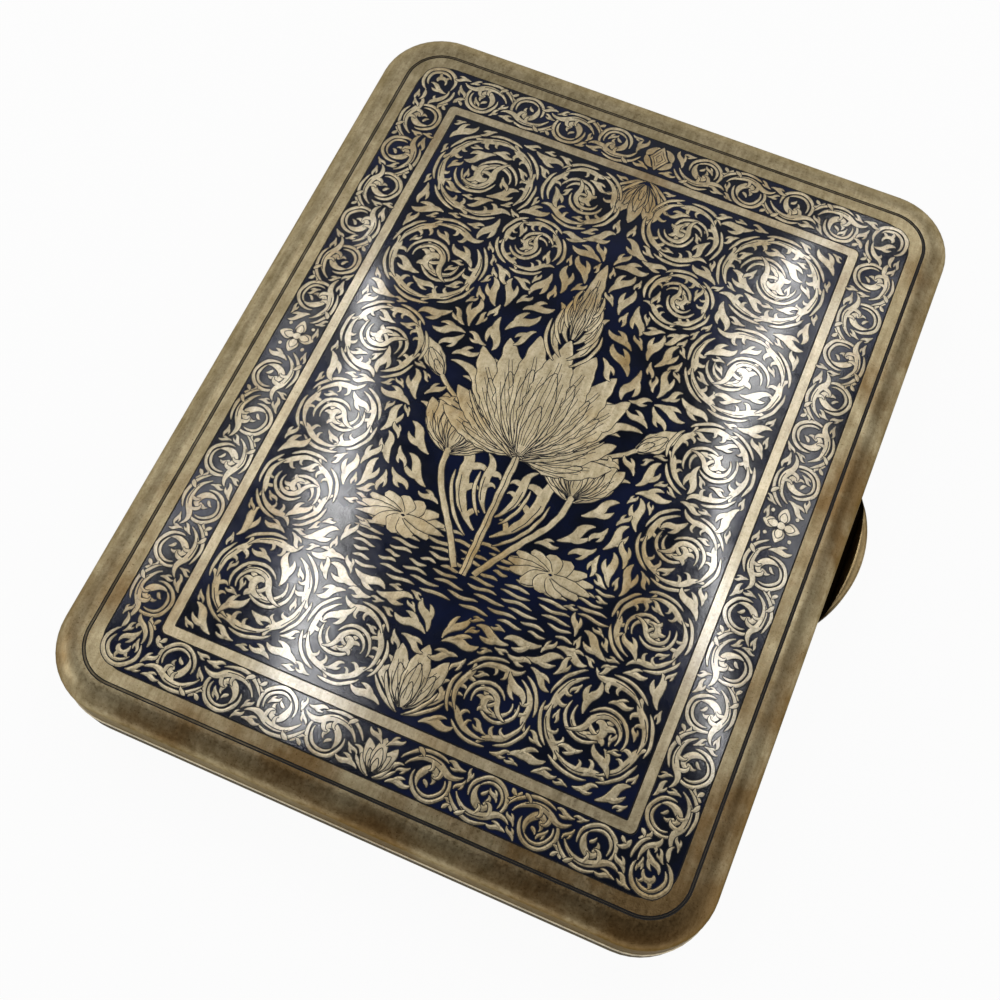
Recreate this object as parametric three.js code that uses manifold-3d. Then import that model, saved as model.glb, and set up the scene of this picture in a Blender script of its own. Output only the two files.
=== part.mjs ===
// A pocket cigarette case in silver: two pressed, cushion-shaped shells on a knuckle hinge.
// A half-moon thumb piece works a sprung catch, and an elastic band in each half holds the cigarettes.
// Millimetres, +Z up. X runs from the hinge to the thumb piece, and Y along the hinge.
// The origin is on the flat of the base, under the middle of the shells.
import * as THREE from 'three';
import { mergeVertices } from 'three/addons/utils/BufferGeometryUtils.js';
import Module from 'manifold-3d';

const wasm = await Module();
wasm.setup();

// Shells
const CASE_WIDTH = 80; // hinge side to catch side
const CASE_LENGTH = 103.4; // along the hinge
const CORNER_RADIUS = 8.5; // in plan
const SHEET = 0.8; // the pressed silver
const BASE_DEPTH = 7.6; // table to parting line
const LID_DEPTH = 6.4; // parting line to the lid's shoulder line
const LID_CROWN = 2; // rise of the cushion over the shoulder line
const CROWN_POWER = 2.2; // 2 is a parabola, more is flatter in the middle
const LID_ROLL_WIDTH = 3.3; // plan width of the lid's rolled edge
const LID_ROLL_DROP = 2.2;
const BASE_ROLL_WIDTH = 4.2; // the base is rounder, so that it sits in the hand
const BASE_ROLL_DROP = 5.4;

// Clearances
const PARTING_GAP = 0.3; // rim to rim when shut
const RUN_GAP = 0.25; // between pieces that pass each other
const SEAM = 0.15; // solder line between fixed pieces

// Hinge
const KNUCKLE_COUNT = 7; // odd, so that the base holds both ends of the pin
const HINGE_MARGIN = 1.5; // end of a corner's round to the first knuckle
const HINGE_PROUD = 0.35; // axis outside the face of the wall
const PIN_RADIUS = 0.5;
const PIN_GAP = 0.2;
const KNUCKLE_WALL = 0.6;

// Bezel strips that stand inside the base's rim and guide the lid
const BEZEL_SHEET = 0.6;
const BEZEL_RISE = 1.2; // over the parting line
const BEZEL_FOOT = 3; // under the parting line

// Catch
const CATCH_SHIFT = 1.5; // middle of the catch from the middle of the side, towards +Y
const THUMB_WIDTH = 17.5; // where it leaves the wall
const THUMB_REACH = 3.2; // out of the wall
const THUMB_SHEET = 1.1;
const THUMB_BELOW = 2; // parting line to the top of its plate
const THUMB_TRAVEL = 0.9;
const THUMB_FLANGE = 1.2; // inner end wider than the slot, on each side
const RIM_WIDTH = 0.4; // round the dish for the thumb
const RIM_HEIGHT = 1;
const SLIDER_WIDTH = 16;
const SLIDER_SHEET = 0.8;
const SLIDER_FOOT = 4.6; // parting line to its lower edge
const SLIDER_HEAD = 0.8; // parting line to the upper edge beside its tongue
const SLIDER_ROUND = 1.2;
const TONGUE_WIDTH = 6;
const NOSE_REACH = 0.4;
const NOSE_HEIGHT = 0.95;
const STRIKE_WIDTH = 10;
const STRIKE_SHEET = 0.6;
const STRIKE_LIFT = 0.5; // parting line to its lower edge
const STRIKE_HEIGHT = 1.2;
const BOW_SPAN = 22;
const BOW_RISE = 2.4;
const BOW_SHEET = 0.35;
const BOW_HEIGHT = 2.4;
const KEEPER_SHEET = 0.8;
const KEEPER_GRIP = 2.4; // how far a keeper lies behind the bow's end
const KEEPER_HOOK = 1.6; // how far it turns round the bow's end

// Elastic bands and their wire loops
const BAND_WIDTH = 10;
const BAND_SHEET = 0.6;
const EYE_GAP = 0.25;
const WIRE_RADIUS = 0.4;
const LOOP_REACH = 2.4; // seat to the bar that holds the band
const LOOP_BEND = 0.9;

// Facets
const CORNER_STEPS = 8;
const SIDE_STEPS = 6;
const ROLL_STEPS = 6;
const ROUND_STEPS = 16;
const DISH_STEPS = 96;
const WIRE_SIDES = 8;
const WIRE_STEPS = 18;

// Places that several pieces share
const HALF_WIDTH = CASE_WIDTH / 2;
const HALF_LENGTH = CASE_LENGTH / 2;
const WALL_INSIDE = HALF_WIDTH - SHEET;
const HINGE_X = -HALF_WIDTH - HINGE_PROUD;
const HINGE_LENGTH = CASE_LENGTH - 2 * (CORNER_RADIUS + HINGE_MARGIN);
const KNUCKLE_BORE = PIN_RADIUS + PIN_GAP;
const KNUCKLE_RADIUS = KNUCKLE_BORE + KNUCKLE_WALL;
const BEZEL_OUTSIDE = SHEET + RUN_GAP;
const BEZEL_INSIDE = BEZEL_OUTSIDE + BEZEL_SHEET;
const STRIKE_BACK = WALL_INSIDE - SEAM;
const STRIKE_FACE = STRIKE_BACK - STRIKE_SHEET;
const STRIKE_TOP = BASE_DEPTH + STRIKE_LIFT + STRIKE_HEIGHT;
const NOSE_TIP = STRIKE_FACE - RUN_GAP;
const SLIDER_FACE = NOSE_TIP - NOSE_REACH;
const SLIDER_BACK = SLIDER_FACE - SLIDER_SHEET;
const THUMB_TOP = BASE_DEPTH - THUMB_BELOW;
const FLANGE_FACE = WALL_INSIDE - RUN_GAP;
const FLANGE_BACK = SLIDER_FACE + SEAM;
const FLANGE_HALF = THUMB_WIDTH / 2 + RUN_GAP + THUMB_FLANGE;
const EYE_BORE = WIRE_RADIUS + EYE_GAP;
const EYE_RADIUS = EYE_BORE + BAND_SHEET;

const FINISHES = {
  silver: { color: 0xb09c72, roughness: 0.34, metalness: 1 },
  steel: { color: 0x8d8c88, roughness: 0.3, metalness: 1 },
  elastic: { color: 0xc9bda3, roughness: 0.9, metalness: 0 },
};

function named(name, finish, geometry) {
  const mesh = new THREE.Mesh(geometry, new THREE.MeshStandardMaterial(FINISHES[finish]));
  mesh.name = name;
  return mesh;
}

function solid(geometry) {
  const bare = geometry.clone();
  bare.deleteAttribute('normal');
  bare.deleteAttribute('uv');
  const merged = mergeVertices(bare, 1e-4);
  return new wasm.Manifold(new wasm.Mesh({
    numProp: 3,
    vertProperties: merged.attributes.position.array,
    triVerts: new Uint32Array(merged.index.array),
  }));
}

function faceted(body) {
  const mesh = body.getMesh();
  const geometry = new THREE.BufferGeometry();
  geometry.setAttribute('position', new THREE.BufferAttribute(mesh.vertProperties, 3));
  geometry.setIndex(new THREE.BufferAttribute(mesh.triVerts, 1));
  return geometry;
}

function joined(...geometries) {
  return faceted(geometries.map(solid).reduce((whole, piece) => whole.add(piece)));
}

function cut(geometry, ...tools) {
  return faceted(tools.map(solid).reduce((whole, tool) => whole.subtract(tool), solid(geometry)));
}

function block(low, high) {
  const size = high.map((value, i) => value - low[i]);
  const middle = high.map((value, i) => (value + low[i]) / 2);
  return new THREE.BoxGeometry(...size).translate(...middle);
}

function prism(shape, depth) {
  return new THREE.ExtrudeGeometry(shape, { depth, bevelEnabled: false, curveSegments: ROUND_STEPS / 2 });
}

// A plan outline standing from one height to another.
function standing(shape, low, high) {
  return prism(shape, high - low).translate(0, 0, low);
}

// An outline in X and Z, run along Y for a width about the middle.
function acrossY(shape, width) {
  return prism(shape, width).rotateX(Math.PI / 2).translate(0, width / 2, 0);
}

// An outline in Y and Z, run along X from one place to another.
function acrossX(shape, low, high) {
  const turn = new THREE.Matrix4().makeBasis(
    new THREE.Vector3(0, 1, 0),
    new THREE.Vector3(0, 0, 1),
    new THREE.Vector3(1, 0, 0),
  );
  return prism(shape, high - low).applyMatrix4(turn).translate(low, 0, 0);
}

function polygon(...points) {
  return new THREE.Shape(points.map(([x, y]) => new THREE.Vector2(x, y)));
}

function ring(outer, inner) {
  const shape = new THREE.Shape().absarc(0, 0, outer, 0, 2 * Math.PI);
  shape.holes.push(new THREE.Path().absarc(0, 0, inner, 0, 2 * Math.PI));
  return shape;
}

// Radius of the arc that rises by a given amount over half its chord.
function arcRadius(halfChord, rise) {
  return (halfChord ** 2 + rise ** 2) / (2 * rise);
}

// The shells' plan outline moved inwards, with the same number of points at every inset.
function outline(inset) {
  const radius = CORNER_RADIUS - inset;
  const x = HALF_WIDTH - CORNER_RADIUS;
  const y = HALF_LENGTH - CORNER_RADIUS;
  const corners = [[x, y], [-x, y], [-x, -y], [x, -y]].map(([cx, cy], quarter) =>
    Array.from({ length: CORNER_STEPS + 1 }, (_, i) => {
      const angle = (quarter + i / CORNER_STEPS) * Math.PI / 2;
      return new THREE.Vector2(cx + radius * Math.cos(angle), cy + radius * Math.sin(angle));
    }));
  return corners.flatMap((corner, i) => {
    const start = corner[CORNER_STEPS];
    const end = corners[(i + 1) % 4][0];
    const side = Array.from({ length: SIDE_STEPS - 1 }, (_, k) =>
      start.clone().lerp(end, (k + 1) / SIDE_STEPS));
    return [...corner, ...side];
  });
}

// Closed skin over a stack of loops, from a point in the first one's middle to one in the last one's.
function loft(first, loops, last) {
  const count = loops[0].length;
  const points = [first, ...loops.flat(), last];
  const at = (loop, i) => 1 + loop * count + (i % count);
  const index = [];
  for (let i = 0; i < count; i++) {
    index.push(0, at(0, i), at(0, i + 1));
    for (let loop = 0; loop < loops.length - 1; loop++) {
      index.push(at(loop, i), at(loop + 1, i), at(loop + 1, i + 1));
      index.push(at(loop, i), at(loop + 1, i + 1), at(loop, i + 1));
    }
    index.push(at(loops.length - 1, i), points.length - 1, at(loops.length - 1, i + 1));
  }
  const geometry = new THREE.BufferGeometry().setFromPoints(points);
  geometry.setIndex(index);
  return geometry;
}

// How far the cushion has risen, from 0 at the shoulder line to 1 in the middle.
function cushion(x, y) {
  const across = Math.abs(x) / (HALF_WIDTH - LID_ROLL_WIDTH);
  const along = Math.abs(y) / (HALF_LENGTH - LID_ROLL_WIDTH);
  return Math.max(0, 1 - across ** CROWN_POWER) * Math.max(0, 1 - along ** CROWN_POWER);
}

// A pressed shell with its open side on the parting plane, reaching up to its shoulder line and crown.
// The rolled edge is a quarter of an ellipse, and shares place the field's loops from the middle outwards.
function pressedShell(depth, roll, drop, crown, shares) {
  const field = (inner) => shares.map((share) => outline(roll).map((p) => {
    const x = p.x * share;
    const y = p.y * share;
    return new THREE.Vector3(x, y, depth - inner + crown * cushion(x, y));
  }));
  const rolled = (inner) => Array.from({ length: ROLL_STEPS }, (_, i) => {
    const angle = (i + 1) / ROLL_STEPS * Math.PI / 2;
    const inset = roll - (roll - inner) * Math.sin(angle);
    const height = depth - inner - (drop - inner) * (1 - Math.cos(angle));
    return outline(inset).map((p) => new THREE.Vector3(p.x, p.y, height));
  });
  const rim = (inner) => outline(inner).map((p) => new THREE.Vector3(p.x, p.y, PARTING_GAP / 2));
  const outside = [...field(0), ...rolled(0), rim(0)];
  const inside = [...field(SHEET), ...rolled(SHEET), rim(SHEET)].reverse();
  const top = new THREE.Vector3(0, 0, depth + crown);
  const ceiling = new THREE.Vector3(0, 0, depth - SHEET + crown);
  return loft(top, [...outside, ...inside], ceiling);
}

// Room for the knuckles, cut along the hinge side of both shells.
function hingeChannel() {
  const length = HINGE_LENGTH + 2 * RUN_GAP;
  return new THREE.CylinderGeometry(KNUCKLE_RADIUS + RUN_GAP, KNUCKLE_RADIUS + RUN_GAP, length, ROUND_STEPS)
    .translate(HINGE_X, 0, BASE_DEPTH);
}

function lidShell() {
  const shell = pressedShell(LID_DEPTH, LID_ROLL_WIDTH, LID_ROLL_DROP, LID_CROWN, [0.25, 0.5, 0.75, 0.9, 1]);
  return cut(shell.translate(0, 0, BASE_DEPTH), hingeChannel());
}

function baseShell() {
  const shell = pressedShell(BASE_DEPTH, BASE_ROLL_WIDTH, BASE_ROLL_DROP, 0, [1]);
  const slot = block(
    [WALL_INSIDE - SHEET, CATCH_SHIFT - THUMB_WIDTH / 2 - RUN_GAP, THUMB_TOP - THUMB_SHEET - RUN_GAP],
    [HALF_WIDTH + SHEET, CATCH_SHIFT + THUMB_WIDTH / 2 + RUN_GAP, THUMB_TOP + RUN_GAP],
  );
  return cut(shell.rotateX(Math.PI).translate(0, 0, BASE_DEPTH), hingeChannel(), slot);
}

// One of the hinge's tubes, numbered from the near end.
function knuckle(i) {
  const pitch = (HINGE_LENGTH + RUN_GAP) / KNUCKLE_COUNT;
  return acrossY(ring(KNUCKLE_RADIUS, KNUCKLE_BORE), pitch - RUN_GAP)
    .translate(HINGE_X, (i + 0.5) * pitch - (HINGE_LENGTH + RUN_GAP) / 2, BASE_DEPTH);
}

function hingePin() {
  return new THREE.CylinderGeometry(PIN_RADIUS, PIN_RADIUS, HINGE_LENGTH, ROUND_STEPS)
    .translate(HINGE_X, 0, BASE_DEPTH);
}

// A strip along one short side and round its corner to the catch. end is 1 at +Y and -1 at -Y.
function bezel(end) {
  const cornerX = HALF_WIDTH - CORNER_RADIUS;
  const cornerY = HALF_LENGTH - CORNER_RADIUS;
  const stop = FLANGE_HALF + RUN_GAP + end * CATCH_SHIFT;
  const shape = new THREE.Shape();
  shape.moveTo(HALF_WIDTH - BEZEL_INSIDE, stop);
  shape.lineTo(HALF_WIDTH - BEZEL_OUTSIDE, stop);
  shape.absarc(cornerX, cornerY, CORNER_RADIUS - BEZEL_OUTSIDE, 0, Math.PI / 2, false);
  shape.lineTo(-cornerX, HALF_LENGTH - BEZEL_OUTSIDE);
  shape.lineTo(-cornerX, HALF_LENGTH - BEZEL_INSIDE);
  shape.absarc(cornerX, cornerY, CORNER_RADIUS - BEZEL_INSIDE, Math.PI / 2, 0, true);
  const low = BASE_DEPTH - BEZEL_FOOT;
  const high = BASE_DEPTH + BEZEL_RISE;
  if (end > 0) return standing(shape, low, high);
  return standing(shape, -high, -low).rotateX(Math.PI);
}

// Half-moon plate through the slot in the wall. Its outer part is dished for the thumb.
// A flange inside the wall is its stop.
function thumbPiece() {
  const half = THUMB_WIDTH / 2;
  const radius = arcRadius(half, THUMB_REACH);
  const centre = HALF_WIDTH + THUMB_REACH - radius;
  const angle = Math.asin(half / radius);
  const plate = new THREE.Shape();
  plate.moveTo(FLANGE_BACK, -FLANGE_HALF);
  plate.lineTo(FLANGE_FACE, -FLANGE_HALF);
  plate.lineTo(FLANGE_FACE, -half);
  plate.lineTo(HALF_WIDTH, -half);
  plate.absarc(centre, 0, radius, -angle, angle, false);
  plate.lineTo(FLANGE_FACE, half);
  plate.lineTo(FLANGE_FACE, FLANGE_HALF);
  plate.lineTo(FLANGE_BACK, FLANGE_HALF);

  // The rim ends where it would meet the wall with the piece pressed in, and the dish slopes up to it.
  const root = HALF_WIDTH + THUMB_TRAVEL + RUN_GAP;
  const rimAngle = Math.acos((root - centre) / radius);
  const rim = new THREE.Shape().absarc(centre, 0, radius, -rimAngle, rimAngle, false);
  const slope = HALF_WIDTH + THUMB_REACH - RIM_WIDTH - root;
  const dishRadius = arcRadius(radius * Math.sin(rimAngle), slope);
  const dish = new THREE.CylinderGeometry(dishRadius + slope, dishRadius - slope, 2 * RIM_HEIGHT, DISH_STEPS)
    .rotateX(Math.PI / 2)
    .translate(root + slope - dishRadius, 0, THUMB_TOP + RIM_HEIGHT);
  const low = THUMB_TOP - THUMB_SHEET;
  return joined(standing(plate, low, THUMB_TOP), cut(standing(rim, low, THUMB_TOP + RIM_HEIGHT), dish));
}

// Plate behind the thumb piece, with a tongue that stands into the lid and hooks over its strike.
function catchSlider() {
  const foot = BASE_DEPTH - SLIDER_FOOT;
  const head = BASE_DEPTH - SLIDER_HEAD;
  const top = STRIKE_TOP + RUN_GAP + NOSE_HEIGHT;
  const half = SLIDER_WIDTH / 2;
  const plate = new THREE.Shape();
  plate.moveTo(-half, foot);
  plate.lineTo(half, foot);
  plate.absarc(half - SLIDER_ROUND, head - SLIDER_ROUND, SLIDER_ROUND, 0, Math.PI / 2, false);
  plate.lineTo(TONGUE_WIDTH / 2, head);
  plate.lineTo(TONGUE_WIDTH / 2, top);
  plate.lineTo(-TONGUE_WIDTH / 2, top);
  plate.lineTo(-TONGUE_WIDTH / 2, head);
  plate.absarc(SLIDER_ROUND - half, head - SLIDER_ROUND, SLIDER_ROUND, Math.PI / 2, Math.PI, false);
  const nose = polygon(
    [SLIDER_BACK, STRIKE_TOP + RUN_GAP],
    [NOSE_TIP, STRIKE_TOP + RUN_GAP],
    [SLIDER_FACE, top],
    [SLIDER_BACK, top],
  );
  return joined(acrossX(plate, SLIDER_BACK, SLIDER_FACE), acrossY(nose, TONGUE_WIDTH));
}

// Ledge inside the lid's wall, with a slope below that lets the nose ride over it.
function strikePlate() {
  const low = BASE_DEPTH + STRIKE_LIFT;
  return acrossY(polygon(
    [STRIKE_BACK, low],
    [STRIKE_BACK, STRIKE_TOP],
    [STRIKE_FACE, STRIKE_TOP],
    [STRIKE_FACE, low + STRIKE_SHEET],
  ), STRIKE_WIDTH);
}

const BOW_RADIUS = arcRadius(BOW_SPAN / 2, BOW_RISE);
const BOW_CENTRE = SLIDER_BACK - SEAM - BOW_RADIUS;
const BOW_ANGLE = Math.asin(BOW_SPAN / 2 / BOW_RADIUS);
const BOW_LOW = (2 * BASE_DEPTH - SLIDER_FOOT - SLIDER_HEAD - BOW_HEIGHT) / 2;

// Bowed leaf spring that pushes the slider outwards.
function catchSpring() {
  const shape = new THREE.Shape();
  shape.absarc(BOW_CENTRE, 0, BOW_RADIUS, -BOW_ANGLE, BOW_ANGLE, false);
  shape.absarc(BOW_CENTRE, 0, BOW_RADIUS - BOW_SHEET, BOW_ANGLE, -BOW_ANGLE, true);
  return standing(shape, BOW_LOW, BOW_LOW + BOW_HEIGHT);
}

// Angle tab on the floor of the base that holds one end of the spring. end is 1 at +Y and -1 at -Y.
function springKeeper(end) {
  const face = BOW_CENTRE + (BOW_RADIUS - BOW_SHEET) * Math.cos(BOW_ANGLE) - SEAM;
  const stop = BOW_SPAN / 2 + SEAM;
  const corners = [
    [face - KEEPER_SHEET, stop - KEEPER_GRIP],
    [face, stop - KEEPER_GRIP],
    [face, stop],
    [face + KEEPER_HOOK, stop],
    [face + KEEPER_HOOK, stop + KEEPER_SHEET],
    [face - KEEPER_SHEET, stop + KEEPER_SHEET],
  ];
  const turned = corners.map(([x, y]) => [x, end * y]);
  return standing(polygon(...turned), SHEET + SEAM, BOW_LOW + BOW_HEIGHT);
}

// Elastic strip with an eye sewn at each end. side is 1 where it runs over the eyes and -1 under them.
function elasticBand(bar, height, side) {
  const eye = (y) =>
    acrossX(ring(EYE_RADIUS, EYE_BORE), -BAND_WIDTH / 2, BAND_WIDTH / 2).translate(0, y, height);
  const near = height + side * EYE_BORE;
  const far = height + side * EYE_RADIUS;
  const strip = block(
    [-BAND_WIDTH / 2, -bar, Math.min(near, far)],
    [BAND_WIDTH / 2, bar, Math.max(near, far)],
  );
  return joined(eye(-bar), eye(bar), strip);
}

// Wire loop whose two legs stand out of an end wall. seat is where the legs end.
function bandLoop(seat, height, end) {
  const half = BAND_WIDTH / 2 + RUN_GAP + WIRE_RADIUS;
  const bar = seat - LOOP_REACH;
  const at = (x, y) => new THREE.Vector3(x, end * y, height);
  const leg = (side) => [at(side * half, seat), at(side * half, bar + LOOP_BEND)];
  const bend = (side) => [
    at(side * half, bar + LOOP_BEND),
    at(side * half, bar),
    at(side * (half - LOOP_BEND), bar),
  ];
  const path = new THREE.CurvePath();
  path.add(new THREE.LineCurve3(...leg(-1)));
  path.add(new THREE.QuadraticBezierCurve3(...bend(-1)));
  path.add(new THREE.LineCurve3(at(LOOP_BEND - half, bar), at(half - LOOP_BEND, bar)));
  path.add(new THREE.QuadraticBezierCurve3(...bend(1).reverse()));
  path.add(new THREE.LineCurve3(...leg(1).reverse()));
  const section = polygon(...Array.from({ length: WIRE_SIDES }, (_, i) => {
    const angle = i / WIRE_SIDES * 2 * Math.PI;
    return [WIRE_RADIUS * Math.cos(angle), WIRE_RADIUS * Math.sin(angle)];
  }));
  return new THREE.ExtrudeGeometry(section, { steps: WIRE_STEPS, extrudePath: path });
}

const ENDS = { near: -1, far: 1 };
const BASE_SEAT = HALF_LENGTH - BEZEL_INSIDE - SEAM;
const LID_SEAT = HALF_LENGTH - SHEET - SEAM;
const BASE_BAND_HEIGHT = BASE_DEPTH - EYE_RADIUS;
const LID_BAND_HEIGHT = BASE_DEPTH + RUN_GAP + Math.max(EYE_RADIUS, BEZEL_RISE + WIRE_RADIUS);

const base = new THREE.Group();
base.add(named('base_shell', 'silver', baseShell()));
base.add(named('hinge_pin', 'steel', hingePin()));
base.add(named('base_elastic', 'elastic', elasticBand(BASE_SEAT - LOOP_REACH, BASE_BAND_HEIGHT, 1)));

const lid = new THREE.Group();
lid.add(named('lid_shell', 'silver', lidShell()));
lid.add(named('lid_elastic', 'elastic', elasticBand(LID_SEAT - LOOP_REACH, LID_BAND_HEIGHT, -1)));

for (let i = 0; i < KNUCKLE_COUNT; i++) {
  const side = i % 2 ? 'lid' : 'base';
  (i % 2 ? lid : base).add(named(`${side}_knuckle_${i + 1}`, 'silver', knuckle(i)));
}

const catchFixed = new THREE.Group();
const catchMoving = new THREE.Group();
catchFixed.add(named('catch_spring', 'steel', catchSpring()));
catchMoving.add(named('thumb_piece', 'silver', thumbPiece()));
catchMoving.add(named('catch_slider', 'silver', catchSlider()));
catchFixed.position.y = CATCH_SHIFT;
catchMoving.position.y = CATCH_SHIFT;

for (const [name, end] of Object.entries(ENDS)) {
  base.add(named(`base_bezel_${name}`, 'silver', bezel(end)));
  base.add(named(`base_loop_${name}`, 'silver', bandLoop(BASE_SEAT, BASE_BAND_HEIGHT, end)));
  lid.add(named(`lid_loop_${name}`, 'silver', bandLoop(LID_SEAT, LID_BAND_HEIGHT, end)));
  catchFixed.add(named(`spring_keeper_${name}`, 'silver', springKeeper(end)));
}

const strike = named('strike_plate', 'silver', strikePlate());
strike.position.y = CATCH_SHIFT;
lid.add(strike);

const cigaretteCase = new THREE.Group();
cigaretteCase.add(base, lid, catchFixed, catchMoving);

export default cigaretteCase;
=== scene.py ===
"""Looks of a pocket cigarette case in tarnished silver, with scrollwork left in silver on niello.

Sizes are in millimetres, in the frame of the solids, and become metres where a mesh is made.
"""
import math
from itertools import product

import bpy
import numpy as np
from mathutils import Matrix, Quaternion, Vector

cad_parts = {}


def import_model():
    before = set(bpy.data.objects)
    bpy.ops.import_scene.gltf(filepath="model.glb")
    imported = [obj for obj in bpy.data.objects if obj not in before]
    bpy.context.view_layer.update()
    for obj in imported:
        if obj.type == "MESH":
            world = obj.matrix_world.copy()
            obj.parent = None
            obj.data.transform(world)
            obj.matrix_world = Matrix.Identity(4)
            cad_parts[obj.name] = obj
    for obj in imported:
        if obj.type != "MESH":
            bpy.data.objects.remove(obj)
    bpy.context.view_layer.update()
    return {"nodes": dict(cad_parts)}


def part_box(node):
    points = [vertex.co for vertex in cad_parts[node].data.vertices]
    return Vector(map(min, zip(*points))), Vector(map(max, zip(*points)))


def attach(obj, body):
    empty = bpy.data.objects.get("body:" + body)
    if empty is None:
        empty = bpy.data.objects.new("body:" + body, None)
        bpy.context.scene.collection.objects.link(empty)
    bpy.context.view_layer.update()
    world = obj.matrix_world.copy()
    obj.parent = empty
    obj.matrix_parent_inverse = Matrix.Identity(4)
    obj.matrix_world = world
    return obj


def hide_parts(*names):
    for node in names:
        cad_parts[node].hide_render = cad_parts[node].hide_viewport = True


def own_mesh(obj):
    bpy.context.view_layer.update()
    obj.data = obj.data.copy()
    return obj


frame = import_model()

MM = 0.001
TAU = 2 * math.pi
SHARP = 26  # degrees between faces that make an edge sharp


def box(node):
    """Lowest and highest corner of a solid, in millimetres."""
    low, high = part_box(node)
    return np.array(low) / MM, np.array(high) / MM


# Places taken from the solids
LID_LOW, (HALF_WIDTH, HALF_LENGTH, LID_TOP) = box("lid_shell")
LID_RIM = LID_LOW[2]
BASE_RIM = box("base_shell")[1][2]
PIN_LOW, PIN_HIGH = box("hinge_pin")
HINGE = np.array([(PIN_LOW[0] + PIN_HIGH[0]) / 2, 0, (LID_RIM + BASE_RIM) / 2])
THUMB_LOW, THUMB_HIGH = box("thumb_piece")
CATCH_Y = (THUMB_LOW[1] + THUMB_HIGH[1]) / 2

# Shells
CORNER_RADIUS = 8.5
SHEET = 0.8
LID_CROWN = 2.0
CROWN_POWER = 2.2
LID_ROLL_WIDTH, LID_ROLL_DROP = 3.3, 2.2
BASE_ROLL_WIDTH, BASE_ROLL_DROP = 4.2, 5.4
LID_SHOULDER = LID_TOP - LID_CROWN
RIM_BEAD = 0.12  # how far the turned edge stands out of the lid's wall
RIM_BEAD_HEIGHT = 0.5
RIM_ROUND = 0.14
DENT_DEPTH = 0.02
CORNER_STEPS, SIDE_STEPS = 12, 28  # of a loop round the case
PANEL_LOOPS = 26

# Zones of the lid, out from the edge of its silver frame, which is set a little off the middle
ART = np.array([0.33, -0.4])
FRAME_HALF = np.array([28.84, 40.5])
PANEL_CORNER = 0.15
FRAME_WIDTH, FRAME_CORNER = 1.35, 0.8
BORDER_WIDTH, BORDER_CORNER = 5.75, 4.1
LINE_OUT, LINE_CORNER = 7.8, 5.2
THIN_LINE, BOLD_LINE = (0.46, 0.14), (0.46, 0.22)  # widths of the engraved line and of its two grooves
RIGHT_FROM, RIGHT_RAMP = 28.0, 8.0  # X where the line grows bold towards the right side
NEAR_FROM, NEAR_RAMP = -20.0, 16.0  # X where it does along the near side
NEAR_SIDE = 44.0  # how near that side begins
GROOVE_WIDTH, GROOVE_DEPTH = 0.17, 0.08
GROOVE_TURN = 0.05  # how much rounder a groove's outer edge is than its middle
PANEL_HALF = FRAME_HALF - FRAME_WIDTH
BORDER_MIDDLE = FRAME_HALF + BORDER_WIDTH / 2

# Hinge, catch and bands
CHANNEL_RADIUS, CHANNEL_GAP = 1.55, 0.25  # room round the hinge and past its ends
TUBE_BORE, TUBE_SOFT, TUBE_STEPS = 0.7, 0.12, 36
THUMB_WIDTH, THUMB_PLATE = 19.8, 1.1
THUMB_Y = CATCH_Y + 1.1  # the half-moon is set a little off the catch
THUMB_TRAVEL = 0.9
THUMB_GAP = 0.25  # room round the thumb piece
THUMB_CREST = 0.52  # where its top is highest, as a share of the way to its edge
SPRING_SHEET = 0.35
RIM_STRIP = 0.6
WIRE_RADIUS, WIRE_BEND = 0.4, 0.9
BAND_WIDTH, BAND_SHEET, BAND_RIBS = 10.0, 0.5, 9
RIB_HEIGHT, BAND_EDGE = 0.06, 0.3
BAND_SHARP, STROKE_SHARP = 60, 30
BEVEL = 0.12

# Ornament
OUTLINE = 0.11  # engraved line round each stroke
VEIN = 0.12  # engraved line on a stroke
HAIR = 0.38  # thin silver line that runs along a leaf
HAIR_GAP = 0.24
BED = 0.02  # lowest stroke over the lid
LIFT = 0.002  # one stroke over another
FINE = 0.42  # step along a long stroke
SUNK = -0.02  # edges of strokes, under the lid's face
BORDER_PITCH = 6.38  # length that the border's unit is drawn for
SHORT_UNITS, LONG_UNITS = 4, 6  # from the middle of a side to its corner
NARROW_STROKE, WIDE_STROKE = 0.5, 0.9  # widths that set how many columns a stroke has
RELIEF = "relief"  # attribute of strokes: 0 at their edges, 1 in their middles
GRID = 0.2  # of the map that finds room for leaves and stacks strokes

SCROLLS = [  # centre, radius, start in degrees, hand and number of leaves, in the panel's right half
    ((19.7, 31.2), 7.0, -150, -1, 7),
    ((7.0, 33.3), 5.2, -30, 1, 5),
    ((20.3, 16.6), 6.6, 140, 1, 6),
    ((10.0, 23.4), 4.3, 200, -1, 5),
    ((21.4, 3.6), 5.4, -110, -1, 6),
    ((21.9, -8.0), 5.0, 110, 1, 5),
    ((22.3, -18.6), 4.7, -110, -1, 5),
    ((20.6, -31.0), 6.4, 120, 1, 6),
    ((9.0, -33.2), 5.0, 60, -1, 5),
]

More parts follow.
